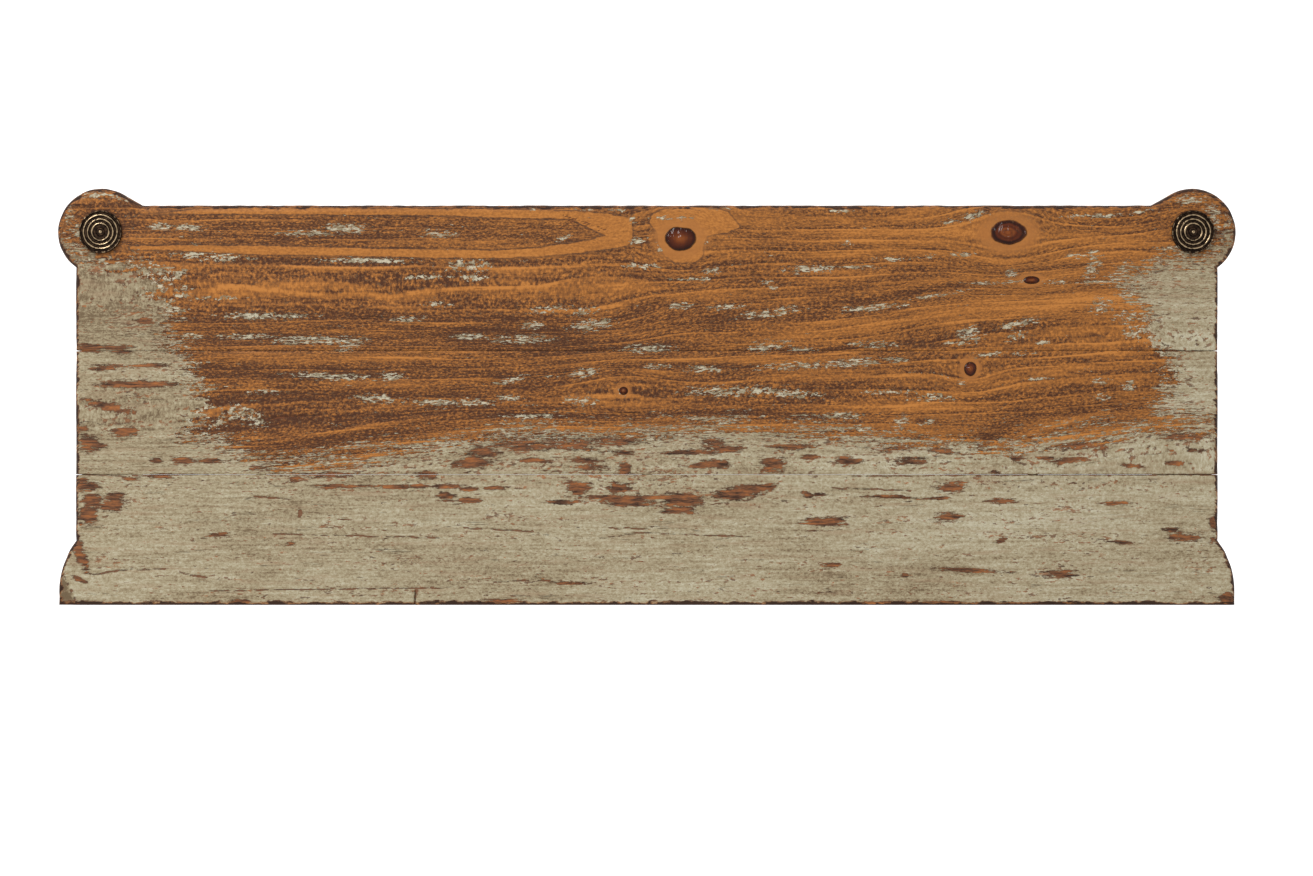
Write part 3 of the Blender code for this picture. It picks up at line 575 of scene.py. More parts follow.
def plankMesh(name, outline):
    # outline, carried down, arrises rounded, top cut to a fine grid
    b = board
    bm = bmesh.new()
    top = bm.faces.new([bm.verts.new((x * mm, -out * mm, boardTop)) for x, out in outline])
    grown = bmesh.ops.extrude_face_region(bm, geom=[top])
    lower = [v for v in grown["geom"] if isinstance(v, bmesh.types.BMVert)]
    bmesh.ops.translate(bm, verts=lower, vec=(0, 0, boardBottom - boardTop))
    bmesh.ops.recalc_face_normals(bm, faces=bm.faces)
    straight = [0.0] + [-(seam + side * b["seamGap"]) * mm for seam in b["seams"] for side in (-1, 1)]

    def outerEdges(height):
        found = []
        for e in bm.edges:
            flat = all(abs(v.co.z - height) < 1e-5 for v in e.verts)
            seam = any(all(abs(v.co.y - y) < 1e-5 for v in e.verts) for y in straight)
            if flat and not seam:
                found.append(e)
        return found

    for height, width, steps in ((boardTop, b["arris"], 5), (boardBottom, b["underArris"], 2)):
        bmesh.ops.bevel(bm, geom=outerEdges(height), offset=width * mm, segments=steps, profile=0.5,
                        affect="EDGES")
    limit = boardTop - b["arris"] * mm - 1e-4
    deep = [out for _, out in outline]
    wide = [x for x, _ in outline]
    cutAcross(bm, 2, [boardTop - depth * mm for depth in b["sideCuts"]],
              lambda f: f.calc_center_median().z < limit)
    cutAcross(bm, 1, [-out * mm for out in gridMarks(min(deep), max(deep), b["gridAcross"])],
              lambda f: all(v.co.z > limit for v in f.verts))
    extra = [b["nick"]["x"] + dx for dx in (-0.7, 0, 0.7)] if name == "plank_rear" else []
    cutAcross(bm, 0, [x * mm for x in gridMarks(min(wide), max(wide), b["gridAlong"]) + extra])
    mesh = bpy.data.meshes.new(name + "Worn")
    bm.to_mesh(mesh)
    bm.free()
    return mesh


def grainField(x, out, depth):
    # ring coordinate: level lines of it are the grain lines on the board's face
    ring = out.copy()
    for s in sweeps:
        step = 1 / (1 + np.exp((x - s["x"]) / (s["run"] / 4)))
        ring -= s["rise"] * (step - 0.5) * np.exp(-(((out - s["out"]) / s["spread"]) ** 2))
    for k in knots:
        near = np.exp(-(((x - k["x"]) / k["reach"][0]) ** 2) - (((out - k["out"]) / k["reach"][1]) ** 2))
        ring = ring * (1 - k["pull"] * near) + k["out"] * k["pull"] * near
    return ring + depth * 0.8


def spots(x, out, places, power=2.0, grow=0.0):
    # highest of the long rounded patches: 1 in the middle, 0 on the rim, and down to -3 outside
    field = np.full(x.shape, -3.0)
    for cx, cout, half, high, slope in places:
        across = np.abs(out - cout - slope * (x - cx)) / (high + grow)
        reach = (np.abs((x - cx) / (half + grow)) ** power + across ** power) ** (1 / power)
        field = np.maximum(field, 1 - reach)
    return field


def bandTone(x, out):
    tone = np.zeros(x.shape)
    for cx, cout, half, high, slope, dark in bands:
        across = (out - cout - slope * (x - cx) - 1.2 * np.sin(x / 31 + cout)) / high
        tone += dark * np.exp(-(np.abs((x - cx) / half) ** 3) - np.abs(across) ** 2.4)
    return np.clip(tone, -1, 1)


def thinPaint(x, out):
    field = np.zeros(x.shape)
    for cx, cout, half, high, slope, amount in thins:
        across = (out - cout - slope * (x - cx)) / high
        field = np.maximum(field, amount * np.exp(-((x - cx) / half) ** 2 - across ** 2))
    return field


def insideBy(x, out, outline):
    # distance to an outline, positive inside it
    apart = distanceToLines(x, out, outline, outline[1:] + outline[:1])
    return np.where(insideOutline(x, out, outline), apart, -apart)


def outlineDistance(x, out):
    b = board
    flare, ear = boardHalves()
    line = flare[::-1] + ear + [(0, b["front"])]
    toEdge = distanceToLines(np.abs(x), out, line[:-1], line[1:])
    return np.minimum(toEdge, out)


def finishPlank(mesh, number):
    b = board
    places = pointsOf(mesh)
    normals = normalsOf(mesh)
    x, out = places[:, 0] / mm, -places[:, 1] / mm
    depth = (boardTop - places[:, 2]) / mm
    toEdge = outlineDistance(x, out)
    edge = toEdge + np.maximum(depth - b["edgeStart"], 0) * b["edgeSteepness"]
    fromUnder = (boardTop - boardBottom) / mm - depth
    edge = np.minimum(edge, toEdge + fromUnder + b["underEdge"])
    onTop = np.clip(1 - depth / b["arris"], 0, 1)
    # hand-worn edges and a face that isn't quite flat
    wander = waves(x, out, 70, 60, 5) * 0.6 + waves(x, out, 17, 15, 6) * 0.4
    sideways = towards(toEdge, b["wearReach"]) * b["edgeWander"] * np.minimum(wander - 0.25, 0)
    sideways = sideways * (out > b["wallClear"])
    places[:, :2] += normals[:, :2] * sideways[:, None] * mm
    lift = waves(x, out, 150, 45, 7) * b["surfaceWander"] - b["surfaceWander"]
    for seam in b["seams"]:
        lift -= towards(out - seam, b["seamReach"]) * b["seamEase"] * (1 + 0.5 * waves(x, out, 60, 9, 8))
    for k in knots[:2]:
        reach = np.hypot((x - k["x"]) / (k["long"] + 2), (out - k["out"]) / (k["high"] + 2))
        lift -= b["knotSink"] * towards(reach, 1.0)
    bare = insideBy(x, out, bareOutline)
    ring = grainField(x, out, depth)
    tone = bandTone(x, out)
    lift -= b["bandSink"] * tone * np.clip(bare / b["bandFade"], 0, 1)
    (ax, aOut), (cx, cOut) = b["brokenCorner"]
    beyond = ((x - ax) * (aOut - cOut) - (out - aOut) * (ax - cx)) / math.hypot(ax - cx, aOut - cOut)
    atCorner = (out < b["brokenArea"]["out"]) * (x > b["brokenArea"]["x"])
    lift -= np.clip(beyond, 0, b["brokenReach"]) * b["brokenSlope"] * atCorner
    nick = b["nick"]
    lift -= nick["depth"] * towards(x - nick["x"], nick["width"]) * (out < nick["reach"])
    crackField = np.zeros(x.shape)
    for start, end, width in cracks:
        bent = out + b["crackBend"] * waves(x, out * 0, 13, 9, 11)
        apart = distanceToLines(x, bent, [start], [end])
        crackField = np.maximum(crackField, towards(apart, width + b["crackFringe"]))
    lift -= b["crackDepth"] * crackField
    places[:, 2] += lift * onTop * mm
    places[:, 1] = np.minimum(places[:, 1], 0.0)
    setPoints(mesh, places)
    bare = np.clip(bare, -b["bareReach"], b["bareReach"])
    bare = bare - np.maximum(depth - b["bareDepth"], 0) * b["bareFade"]
    tongue = np.minimum(insideBy(x, out, tongueOutline), -insideBy(x, out, tongueMiddle))
    tongue = tongue - np.maximum(x - b["tongueFade"][0], 0) / b["tongueFade"][1]
    clean = np.maximum(insideBy(x, out, knotPatch), tongue)
    setField(mesh, "grain", np.column_stack([x + 37 * number, ring + 410 * number, depth]))
    # the top's marks stop part way down the sides
    under = np.clip((depth - b["marksDepth"]) / b["marksFade"], 0, 1)
    chipField = spots(x, out, chips, 2.6, 0.5) - 4 * under
    fleckField = spots(x, out, flecks, 2.0, 0.6) - 4 * under
    above = 1 - under
    setField(mesh, "layout", np.column_stack([bare, chipField, fleckField]))
    setField(mesh, "wear", np.column_stack([np.minimum(edge, b["edgeReach"]), crackField * above,
                                            thinPaint(x, out) * above]))
    dirt = b["sideGrime"]
    grimeAndFacetShade = np.clip((x - dirt["x"]) / dirt["over"], 0, 1)
    grimeAndFacetShade = grimeAndFacetShade * np.clip((out - dirt["out"]) / dirt["over"], 0, 1)
    # darker paint towards +x and the front; on the broken corner's sloping facet, painted shade for its slope
    grimeAndFacetShade = np.maximum(grimeAndFacetShade, np.clip(beyond / 1.5, 0, 1) * b["cornerGrime"] * atCorner)
    setField(mesh, "tone", np.column_stack([tone, clean, grimeAndFacetShade]))
    setField(mesh, "face", np.column_stack([x, out, depth]))


# ---- colours of wood and paint, and the shader groups that the finishes share

tones = {
    "pine": [
        (0.0, paintColour(190, 124, 60)), (0.2, paintColour(168, 107, 50)),
        (0.45, paintColour(138, 88, 44)), (0.72, paintColour(111, 69, 37)), (1.0, paintColour(76, 45, 28)),
    ],
    "milkPaint": [
        (0.0, paintColour(112, 94, 70)), (0.3, paintColour(152, 136, 107)),
        (0.6, paintColour(172, 160, 131)), (1.0, paintColour(194, 187, 162)),
    ],
    "chip": [
        (0.38, paintColour(62, 41, 30)), (0.46, paintColour(98, 66, 46)), (0.54, paintColour(130, 83, 52)),
        (0.66, paintColour(166, 103, 56)),
    ],
    "knotEye": [
        (0.0, paintColour(34, 8, 0)), (0.2, paintColour(62, 19, 2)), (0.5, paintColour(92, 38, 9)),
        (0.85, paintColour(128, 66, 24)),
    ],
    "knotHalo": (paintColour(158, 98, 48), paintColour(182, 120, 62)),
    "patchLip": paintColour(84, 58, 42),
    "crumb": (paintColour(140, 126, 98), paintColour(206, 198, 172)),
    "dust": paintColour(154, 122, 86),
    "warmPaint": paintColour(160, 134, 106),
    "chipRim": paintColour(98, 74, 54),
    "hairline": paintColour(70, 50, 38),
    "wornEdge": (paintColour(104, 68, 46), paintColour(160, 104, 58)),
    # dark colour for the very rim of the rounded arris: painted shade
    "paintedRimShade": paintColour(44, 26, 17),
    "crack": (paintColour(56, 42, 34), paintColour(112, 66, 40)),
}


def pineGrainGroup():
    # wire-brushed pine: hard orange lines standing between soft, dirty bands
    tree, given, wanted = newGroup(
        "pineGrain",
        [("Grain", "vector", None), ("Tone", "value", 0.0), ("Clean", "value", 0.0),
         ("Ring Width", "value", 9.0), ("Darkness", "value", 0.5)],
        [("Color", "colour"), ("Relief", "value"), ("Dark", "value")],
    )
    grain = given["Grain"]
    along, ring, _ = split(tree, grain)
    drift = noise(tree, grain, (210, 20, 60), 2, 0.5)
    ripple = noise(tree, grain, (52, 8, 30), 2, 0.5, 4.0)
    warped = timesPlus(tree, drift, 17.0, ring)
    warped = timesPlus(tree, ripple, 3.4, warped)
    turns = maths(tree, "DIVIDE", warped, given["Ring Width"])
    share = maths(tree, "FRACT", turns)
    which = maths(tree, "FLOOR", turns)
    ringPlace = join(tree, times(tree, which, 7.31), maths(tree, "DIVIDE", along, 260.0), 3.0)
    ringTone = noise(tree, ringPlace, (1, 1, 1), 1, 0.5)
    lineShare = span(tree, noise(tree, grain, (95, 12, 40), 2, 0.5, 6.0), 0.36, 0.56)
    profile = ramp(tree, share, [
        (0.0, grey(0.02)), (0.09, grey(0.0)), (0.14, grey(0.82)), (0.3, grey(0.62)), (0.7, grey(0.44)),
        (0.9, grey(0.4)), (0.97, grey(0.3)), (1.0, grey(0.02)),
    ])
    mottle = noise(tree, grain, (34, 5, 20), 5, 0.6, 9.0)
    cloud = noise(tree, grain, (120, 24, 60), 3, 0.5, 15.0)
    fibre = noise(tree, grain, (15, 1.15, 6), 4, 0.66, 21.0)
    streak = noise(tree, grain, (64, 2.3, 10), 4, 0.62, 24.0)
    grit = noise(tree, grain, (2.4, 1.5, 2), 4, 0.76, 27.0)
    base = timesPlus(tree, given["Tone"], 0.46, given["Darkness"])
    base = plus(tree, base, timesPlus(tree, mottle, 0.7, -0.35))
    base = plus(tree, base, timesPlus(tree, cloud, 0.9, -0.45))
    base = plus(tree, base, timesPlus(tree, ringTone, 0.4, -0.2))
    lines = times(tree, less(tree, profile, 0.45), lineShare)
    dark = timesPlus(tree, lines, 0.75, base)
    dark = plus(tree, dark, timesPlus(tree, streak, 1.1, -0.55))
    dirt = span(tree, dark, 0.3, 0.75)
    quiet = timesPlus(tree, dirt, 1.2, 0.6)
    gritty = timesPlus(tree, dirt, 2.6, 1.9)
    dark = sway(tree, fibre, quiet, dark)
    dark = sway(tree, grit, gritty, dark)
    cleanDark = sway(tree, fibre, 0.5, timesPlus(tree, cloud, 0.3, 0.02))
    cleanDark = sway(tree, grit, 1.3, cleanDark)
    gap = less(tree, cleanDark, dark)
    dark = timesPlus(tree, gap, given["Clean"], dark)
    tree.links.new(ramp(tree, dark, tones["pine"]), wanted["Color"])
    relief = timesPlus(tree, fibre, 0.5, times(tree, dark, -0.6))
    tree.links.new(timesPlus(tree, grit, 0.3, relief), wanted["Relief"])
    tree.links.new(dark, wanted["Dark"])
    return tree


def milkPaintGroup():
    # old matt paint: faint brush lines, grime with some painted shade, and specks of wood where it is thin
    tree, given, wanted = newGroup(
        "milkPaint",
        [("Grain", "vector", None), ("Thin", "value", 0.0), ("Grime", "value", 0.5)],
        [("Color", "colour"), ("Relief", "value"), ("Through", "value")],
    )
    grain = given["Grain"]
    tone = noise(tree, grain, (170, 40, 60), 3, 0.5, 31.0)
    brush = noise(tree, grain, (48, 2.0, 10), 4, 0.62, 36.0)
    grit = noise(tree, grain, (2.3, 1.5, 2), 4, 0.78, 41.0)
    blotch = noise(tree, grain, (15, 5, 10), 4, 0.65, 47.0)
    warmth = noise(tree, grain, (60, 5, 20), 3, 0.6, 50.0)
    level = timesPlus(tree, tone, 0.9, times(tree, brush, 1.1))
    level = timesPlus(tree, grit, 2.2, level)
    level = timesPlus(tree, blotch, 0.8, level)
    level = less(tree, level, timesPlus(tree, given["Grime"], 0.5, 1.75))
    colour = ramp(tree, level, tones["milkPaint"])
    colour = blend(tree, span(tree, warmth, 0.5, 0.72, 0.0, 0.45), colour, tones["warmPaint"])
    speck = noise(tree, grain, (4.6, 1.7, 3), 3, 0.65, 53.0)
    need = less(tree, 0.655, times(tree, given["Thin"], 0.16))
    seen = plus(tree, speck, timesPlus(tree, blotch, 0.6, -0.3))
    through = span(tree, seen, need, plus(tree, need, 0.045))
    tree.links.new(colour, wanted["Color"])
    tree.links.new(timesPlus(tree, brush, 0.6, times(tree, grit, 0.4)), wanted["Relief"])
    tree.links.new(through, wanted["Through"])
    return tree


def raggedGroup():
    # turns a smooth field in millimetres into a torn patch: 1 inside, with the rim just outside its edge
    tree, given, wanted = newGroup(
        "raggedEdge",
        [("Field", "value", 0.0), ("Grain", "vector", None), ("Coarse", "value", 1.0),
         ("Comb", "value", 1.0), ("Fine", "value", 1.0), ("Soft", "value", 0.1), ("Rim Width", "value", 1.0)],
        [("Mask", "value"), ("Rim", "value"), ("Level", "value")],
    )
    grain = given["Grain"]
    coarse = less(tree, noise(tree, grain, (40, 11, 20), 3, 0.6, 61.0), 0.5)
    comb = less(tree, noise(tree, grain, (30, 2.2, 12), 4, 0.66, 64.0), 0.5)
    fine = less(tree, noise(tree, grain, (5.6, 1.9, 4), 5, 0.76, 67.0), 0.5)
    level = timesPlus(tree, coarse, given["Coarse"], given["Field"])
    level = timesPlus(tree, comb, given["Comb"], level)
    level = timesPlus(tree, fine, given["Fine"], level)
    soft = given["Soft"]
    mask = span(tree, level, times(tree, soft, -1.0), soft)
    halo = span(tree, level, times(tree, given["Rim Width"], -1.0), soft)
    tree.links.new(mask, wanted["Mask"])
    tree.links.new(maths(tree, "SUBTRACT", halo, mask, clamp=True), wanted["Rim"])
    tree.links.new(level, wanted["Level"])
    return tree


def knotGroup():
    # how far a place is from a knot's middle: 1 on the rim of its eye
    tree, given, wanted = newGroup(
        "knotEye",
        [("Face", "vector", None), ("Centre X", "value", 0.0), ("Centre Out", "value", 0.0),
         ("Half Length", "value", 10.0), ("Half Height", "value", 8.0)],
        [("Reach", "value")],
    )
    x, out, _ = split(tree, given["Face"])
    rough = noise(tree, given["Face"], (9, 9, 9), 2, 0.5, 71.0)
    dx = maths(tree, "DIVIDE", less(tree, x, given["Centre X"]), given["Half Length"])
    dy = maths(tree, "DIVIDE", less(tree, out, given["Centre Out"]), given["Half Height"])
    square = timesPlus(tree, dx, dx, times(tree, dy, dy))
    reach = maths(tree, "SQRT", square)
    tree.links.new(sway(tree, rough, 0.3, reach), wanted["Reach"])
    return tree


def hairlineGroup():
    # long thin drying cracks that follow the grain
    tree, given, wanted = newGroup(
        "hairlines", [("Grain", "vector", None), ("Amount", "value", 0.5)], [("Mask", "value")],
    )
    grain = given["Grain"]
    course = noise(tree, grain, (150, 8, 30), 4, 0.55, 131.0)
    apart = maths(tree, "ABSOLUTE", less(tree, course, 0.5))
    line = span(tree, apart, 0.0, 0.007, 1.0, 0.0)
    where = noise(tree, grain, (38, 9, 20), 3, 0.6, 137.0)
    limit = less(tree, 0.74, times(tree, given["Amount"], 0.3))
    shown = span(tree, where, limit, plus(tree, limit, 0.08))
    tree.links.new(times(tree, line, shown), wanted["Mask"])
    return tree


pineGrain = pineGrainGroup()
milkPaint = milkPaintGroup()
raggedEdge = raggedGroup()
knotEye = knotGroup()
hairlines = hairlineGroup()
print("shader groups ready")


def paintedWood(name, settings):
    # old paint over waxed pine; the board's own marks are read only where it has them
    material, tree, shader = newMaterial(name)
    grain = attribute(tree, "grain")
    bare, chip, fleck = split(tree, attribute(tree, "layout"))
    edge, crack, thin = split(tree, attribute(tree, "wear"))
    tone, clean, grimeAndFacetShade = split(tree, attribute(tree, "tone"))
    ruffle = noise(tree, grain, (9, 3, 6), 3, 0.6, 77.0)
    cleanLevel = sway(tree, ruffle, 2.4, clean)
    cleanShare = span(tree, cleanLevel, -0.35, 0.35) if settings["knots"] else None
    wood = useGroup(tree, pineGrain, Grain=grain, Tone=tone, Clean=cleanShare,
                    Ring_Width=settings["ringWidth"], Darkness=settings["darkness"])
    woodColour = wood["Color"]
    woodRough = span(tree, wood["Dark"], 0.1, 0.8, 0.4, 0.6)
    knotShare = None
    if settings["knots"]:
        lip = span(tree, maths(tree, "ABSOLUTE", plus(tree, cleanLevel, 0.7)), 0.0, 1.1, 0.55, 0.0)
        woodColour = blend(tree, lip, woodColour, tones["patchLip"])
        face = attribute(tree, "face")
        nearest, ringed = 9.0, 0.0
        for k in knots:
            eye = useGroup(tree, knotEye, Face=face, Centre_X=k["x"], Centre_Out=k["out"],
                           Half_Length=k["long"], Half_Height=k["high"])
            ringed = most(tree, span(tree, eye["Reach"], 1.2, 1.3, k["ringed"], 0.0), ringed)
            nearest = maths(tree, "MINIMUM", eye["Reach"], nearest)
        halo = span(tree, nearest, 1.35, 2.3, 1.0, 0.0)
        haloTone = noise(tree, grain, (14, 3, 8), 3, 0.6, 83.0)
        haloColour = blend(tree, haloTone, *tones["knotHalo"])
        woodColour = blend(tree, times(tree, halo, 0.8), woodColour, haloColour)
        knotShare = span(tree, nearest, 0.95, 1.07, 1.0, 0.0)
        rings = times(tree, maths(tree, "SINE", times(tree, nearest, 21.0)), ringed)
        eyeTone = timesPlus(tree, rings, 0.14, less(tree, 1.0, nearest))
        eyeTone = sway(tree, haloTone, 0.4, eyeTone)
        woodColour = blend(tree, knotShare, woodColour, ramp(tree, eyeTone, tones["knotEye"]))
        woodRough = timesPlus(tree, knotShare, -0.26, woodRough)
    # crumbs of paint held in the grain, most of them near the edge of the paint
    cover = useGroup(tree, raggedEdge, Field=bare, Grain=grain, Coarse=settings["coarseTear"],
                     Comb=settings["combTear"], Fine=settings["fineTear"], Soft=0.5, Rim_Width=2.5)
    crumb = noise(tree, grain, (4.6, 1.5, 3), 4, 0.72, 91.0)
    stray = noise(tree, grain, (50, 5, 20), 3, 0.6, 97.0)
    held = most(tree, span(tree, fleck, -0.9, 0.8, 0.0, 0.31),
                span(tree, stray, 0.5, 0.72, 0.0, settings["strayFlecks"]))
    held = most(tree, span(tree, cover["Level"], 0.0, 22.0, 0.3, 0.0), held)
    held = timesPlus(tree, span(tree, wood["Dark"], 0.15, 0.75), 0.05, held)
    limit = less(tree, 0.82, held)
    crumbs = span(tree, crumb, limit, plus(tree, limit, 0.03))
    if knotShare is not None:
        crumbs = times(tree, crumbs, less(tree, 1.0, knotShare))
    crumbTone = noise(tree, grain, (6, 2, 4), 3, 0.6, 101.0)
    crumbColour = blend(tree, span(tree, crumbTone, 0.35, 0.6), *tones["crumb"])
    pores = noise(tree, grain, (3.2, 1.4, 2), 3, 0.7, 105.0)
    dust = times(tree, span(tree, pores, 0.53, 0.66), span(tree, wood["Dark"], 0.35, 0.8, 0.0, 0.3))
    woodColour = blend(tree, dust, woodColour, tones["dust"])
    bareColour = blend(tree, times(tree, crumbs, 0.86), woodColour, crumbColour)
    # paint, where the wood is still covered
    nearWood = span(tree, cover["Level"], -34.0, -1.0, 0.0, 0.8)
    paint = useGroup(tree, milkPaint, Grain=grain, Thin=most(tree, thin, nearWood),
                     # the grime input also carries the painted shade of the broken corner's facet
                     Grime=timesPlus(tree, grimeAndFacetShade, 0.4, settings["grime"]))
    chipped = useGroup(tree, raggedEdge, Field=less(tree, chip, 0.12), Grain=grain, Coarse=1.6, Comb=2.2,
                       Fine=2.8, Soft=0.05, Rim_Width=0.35)
    random = noise(tree, grain, (20, 3.0, 12), 5, 0.7, 109.0)
    randomChip = span(tree, random, settings["chipLimit"], settings["chipLimit"] + 0.012)
    chipShare = most(tree, chipped["Mask"], randomChip)
    chipTone = noise(tree, grain, (15, 2.4, 6), 5, 0.72, 113.0)
    chipColour = ramp(tree, chipTone, tones["chip"])
    coat = blend(tree, times(tree, paint["Through"], 0.8), paint["Color"], chipColour)
    coat = blend(tree, times(tree, chipped["Rim"], 0.6), coat, tones["chipRim"])
    coat = blend(tree, chipShare, coat, chipColour)
    colour = blend(tree, cover["Mask"], coat, bareColour)
    hair = useGroup(tree, hairlines, Grain=grain, Amount=settings["hairlines"])["Mask"]
    colour = blend(tree, times(tree, hair, 0.6), colour, tones["hairline"])
    # edges: paint gone, then a dark line along the very rim, painted shade for the rounded arris turning away
    # from the light
    edgeRough = noise(tree, grain, (11, 4, 8), 4, 0.65, 119.0)
    edgeLevel = sway(tree, edgeRough, settings["edgeTear"], edge)
    worn = span(tree, edgeLevel, settings["edgeBare"] - 0.4, settings["edgeBare"] + 0.4, 1.0, 0.0)
    edgeColour = blend(tree, span(tree, edgeRough, 0.4, 0.6), *tones["wornEdge"])
    colour = blend(tree, times(tree, worn, 0.85), colour, edgeColour)
    paintedRimShade = span(tree, edgeLevel, settings["paintedRimShade"], settings["paintedRimShade"] + 1.1, 0.92, 0.0)
    colour = blend(tree, paintedRimShade, colour, tones["paintedRimShade"])
    broken = noise(tree, grain, (9, 5, 6), 4, 0.7, 127.0)
    crackLevel = sway(tree, broken, 3.0, crack)
    crackShare = times(tree, span(tree, crackLevel, 0.35, 0.75), span(tree, crack, 0.1, 0.4))
    crackColour = blend(tree, span(tree, broken, 0.42, 0.6), *tones["crack"])
    colour = blend(tree, times(tree, crackShare, 0.85), colour, crackColour)
    tree.links.new(colour, shader["Base Color"])
    paintRough = timesPlus(tree, paint["Relief"], 0.15, 0.5)
    rough = timesPlus(tree, less(tree, woodRough, paintRough), cover["Mask"], paintRough)
    tree.links.new(rough, shader["Roughness"])
    shader["Specular IOR Level"].default_value = 0.16
    film = less(tree, 1.0, most(tree, cover["Mask"], chipShare))
    film = most(tree, film, times(tree, crumbs, cover["Mask"]))
    height = timesPlus(tree, film, 0.8, times(tree, wood["Relief"], 0.35))
    height = timesPlus(tree, paint["Relief"], 0.3, height)
    if knotShare is not None:
        resin = noise(tree, grain, (4.2, 4.2, 4.2), 1, 0.5, 87.0)
        dome = span(tree, nearest, 0.1, 1.05, 9.0, 0.0)
        height = timesPlus(tree, times(tree, knotShare, resin), 9.0, height)
        height = plus(tree, height, dome)
        gloss = times(tree, times(tree, knotShare, cover["Mask"]), 0.35)
        dull = timesPlus(tree, knotShare, -0.11, 0.16)
        tree.links.new(dull, shader["Specular IOR Level"])
        tree.links.new(gloss, shader["Coat Weight"])
        shader["Coat Roughness"].default_value = 0.1
    height = timesPlus(tree, most(tree, crackShare, hair), -1.0, height)
    tree.links.new(bumpInto(tree, shader, height, settings["relief"]), shader["Coat Normal"])
    return material


boardFinish = paintedWood("boardFinish", {
    "ringWidth": 9.0, "darkness": 0.55, "knots": True, "strayFlecks": 0.2,
    "coarseTear": 24.0, "combTear": 64.0, "fineTear": 56.0, "grime": 0.5, "chipLimit": 0.665,
    "hairlines": 0.6, "edgeTear": 10.0, "edgeBare": 2.7, "paintedRimShade": 1.5, "relief": 0.0003,
})
bracketFinish = paintedWood("bracketFinish", {
    "ringWidth": 7.5, "darkness": 0.55, "knots": False, "strayFlecks": 0.18,
    "coarseTear": 34.0, "combTear": 44.0, "fineTear": 40.0, "grime": 0.55, "chipLimit": 0.65,
    "hairlines": 0.6, "edgeTear": 16.0, "edgeBare": 1.9, "paintedRimShade": -0.2, "relief": 0.0003,
})


# ---- planks

def makePlanks():
    for number, (name, outline) in enumerate(plankOutlines().items()):
        mesh = plankMesh(name, outline)
        finishPlank(mesh, number)
        mesh.shade_smooth()
        mesh.set_sharp_from_angle(angle=math.radians(38))
        item = makeObject(name.replace("plank_", "wornPlank_"), mesh, boardFinish)
        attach(item, "root")
        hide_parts(name)
        print(name, "made with", len(mesh.polygons), "faces")


makePlanks()


# ---- bracket timbers: CAD shapes, cut finer, with worn arrises and their own grain

timber = {
    "longAxes": (("leg", 2), ("arm", 1), ("brace", 1)),
    "step": {"along": 3.5, "across": 2.2},
    "wander": 0.4,
    "wearReach": 5.0,
    "painted": -15.0,
    "paintWander": 9.0,
    "away": 30.0,
    "grainSway": 3.0,
    "swayLength": 95.0,
    "sharp": 12.0,
    "shortest": 6.0,
    "wallSide": -1.0,
    "thin": 0.2,
}


def timberMesh(node, longAxis):
    source = nodes[node].data
    bm = bmesh.new()
    bm.from_mesh(source)
    bmesh.ops.dissolve_limit(bm, angle_limit=math.radians(0.5), verts=bm.verts, edges=bm.edges)
    sharp = [e for e in bm.edges if e.calc_length() > timber["shortest"] * mm and len(e.link_faces) == 2
             and e.calc_face_angle(0) > math.radians(timber["sharp"])]
    lines = [(np.array(e.verts[0].co), np.array(e.verts[1].co)) for e in sharp]
    low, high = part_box(node)
    for axis in range(3):
        step = timber["step"]["along" if axis == longAxis else "across"]
        marks = gridMarks(low[axis] / mm, high[axis] / mm, step)
        cutAcross(bm, axis, [mark * mm for mark in marks])
    mesh = bpy.data.meshes.new(node + "Worn")
    bm.to_mesh(mesh)
    bm.free()
    return mesh, lines


def nearestLine(places, lines):
    nearest = np.full(len(places), 1.0)
    for a, b in lines:
        run = b - a
        share = np.clip((places - a) @ run / max(run @ run, 1e-12), 0, 1)
        nearest = np.minimum(nearest, np.linalg.norm(places - a - share[:, None] * run, axis=1))
    return nearest / mm


def finishTimber(mesh, lines, longAxis, number, bowed):
    places = pointsOf(mesh)
    normals = normalsOf(mesh)
    toEdge = nearestLine(places, lines)
    x, y, z = (places[:, n] / mm for n in range(3))
    others = [n for n in range(3) if n != longAxis]
    along = places[:, longAxis] / mm
    wander = waves(along, x + y + z, 55, 40, number) * 0.6
    wander = wander + waves(along, x - y + z, 14, 11, number + 1) * 0.4
    shift = towards(toEdge, timber["wearReach"]) * timber["wander"] * np.minimum(wander - 0.5, 0)
    shift[y > timber["wallSide"]] = 0
    setPoints(mesh, places + normals * shift[:, None] * mm)
    ring = places[:, others[0]] / mm + 0.8 * places[:, others[1]] / mm
    depth = places[:, others[1]] / mm - 0.6 * places[:, others[0]] / mm
    if bowed:
        # circle through the bow: the grain runs round it
        sums = np.column_stack([2 * y, 2 * z, np.ones(len(y))])
        cy, cz, _ = np.linalg.lstsq(sums, y * y + z * z, rcond=None)[0]
        radius = np.hypot(y - cy, z - cz)
        along = np.arctan2(z - cz, y - cy) * radius.mean()
        ring = radius + 0.8 * x
        depth = x - 0.6 * radius
    ring = ring + timber["grainSway"] * np.sin(along / timber["swayLength"] + number)
    bare = timber["painted"] + timber["paintWander"] * waves(along, x + z, 120, 60, number + 2)
    none = np.zeros(len(x))
    away = none - timber["away"]
    setField(mesh, "grain", np.column_stack([along + 57 * number, ring + 190 * number, depth]))
    setField(mesh, "layout", np.column_stack([bare, away, away]))
    edge = np.minimum(toEdge, board["edgeReach"])
    setField(mesh, "wear", np.column_stack([edge, none, none + timber["thin"]]))
    tone = 0.3 * waves(along, x + z, 80, 50, number + 4)
    setField(mesh, "tone", np.column_stack([tone, away, none]))


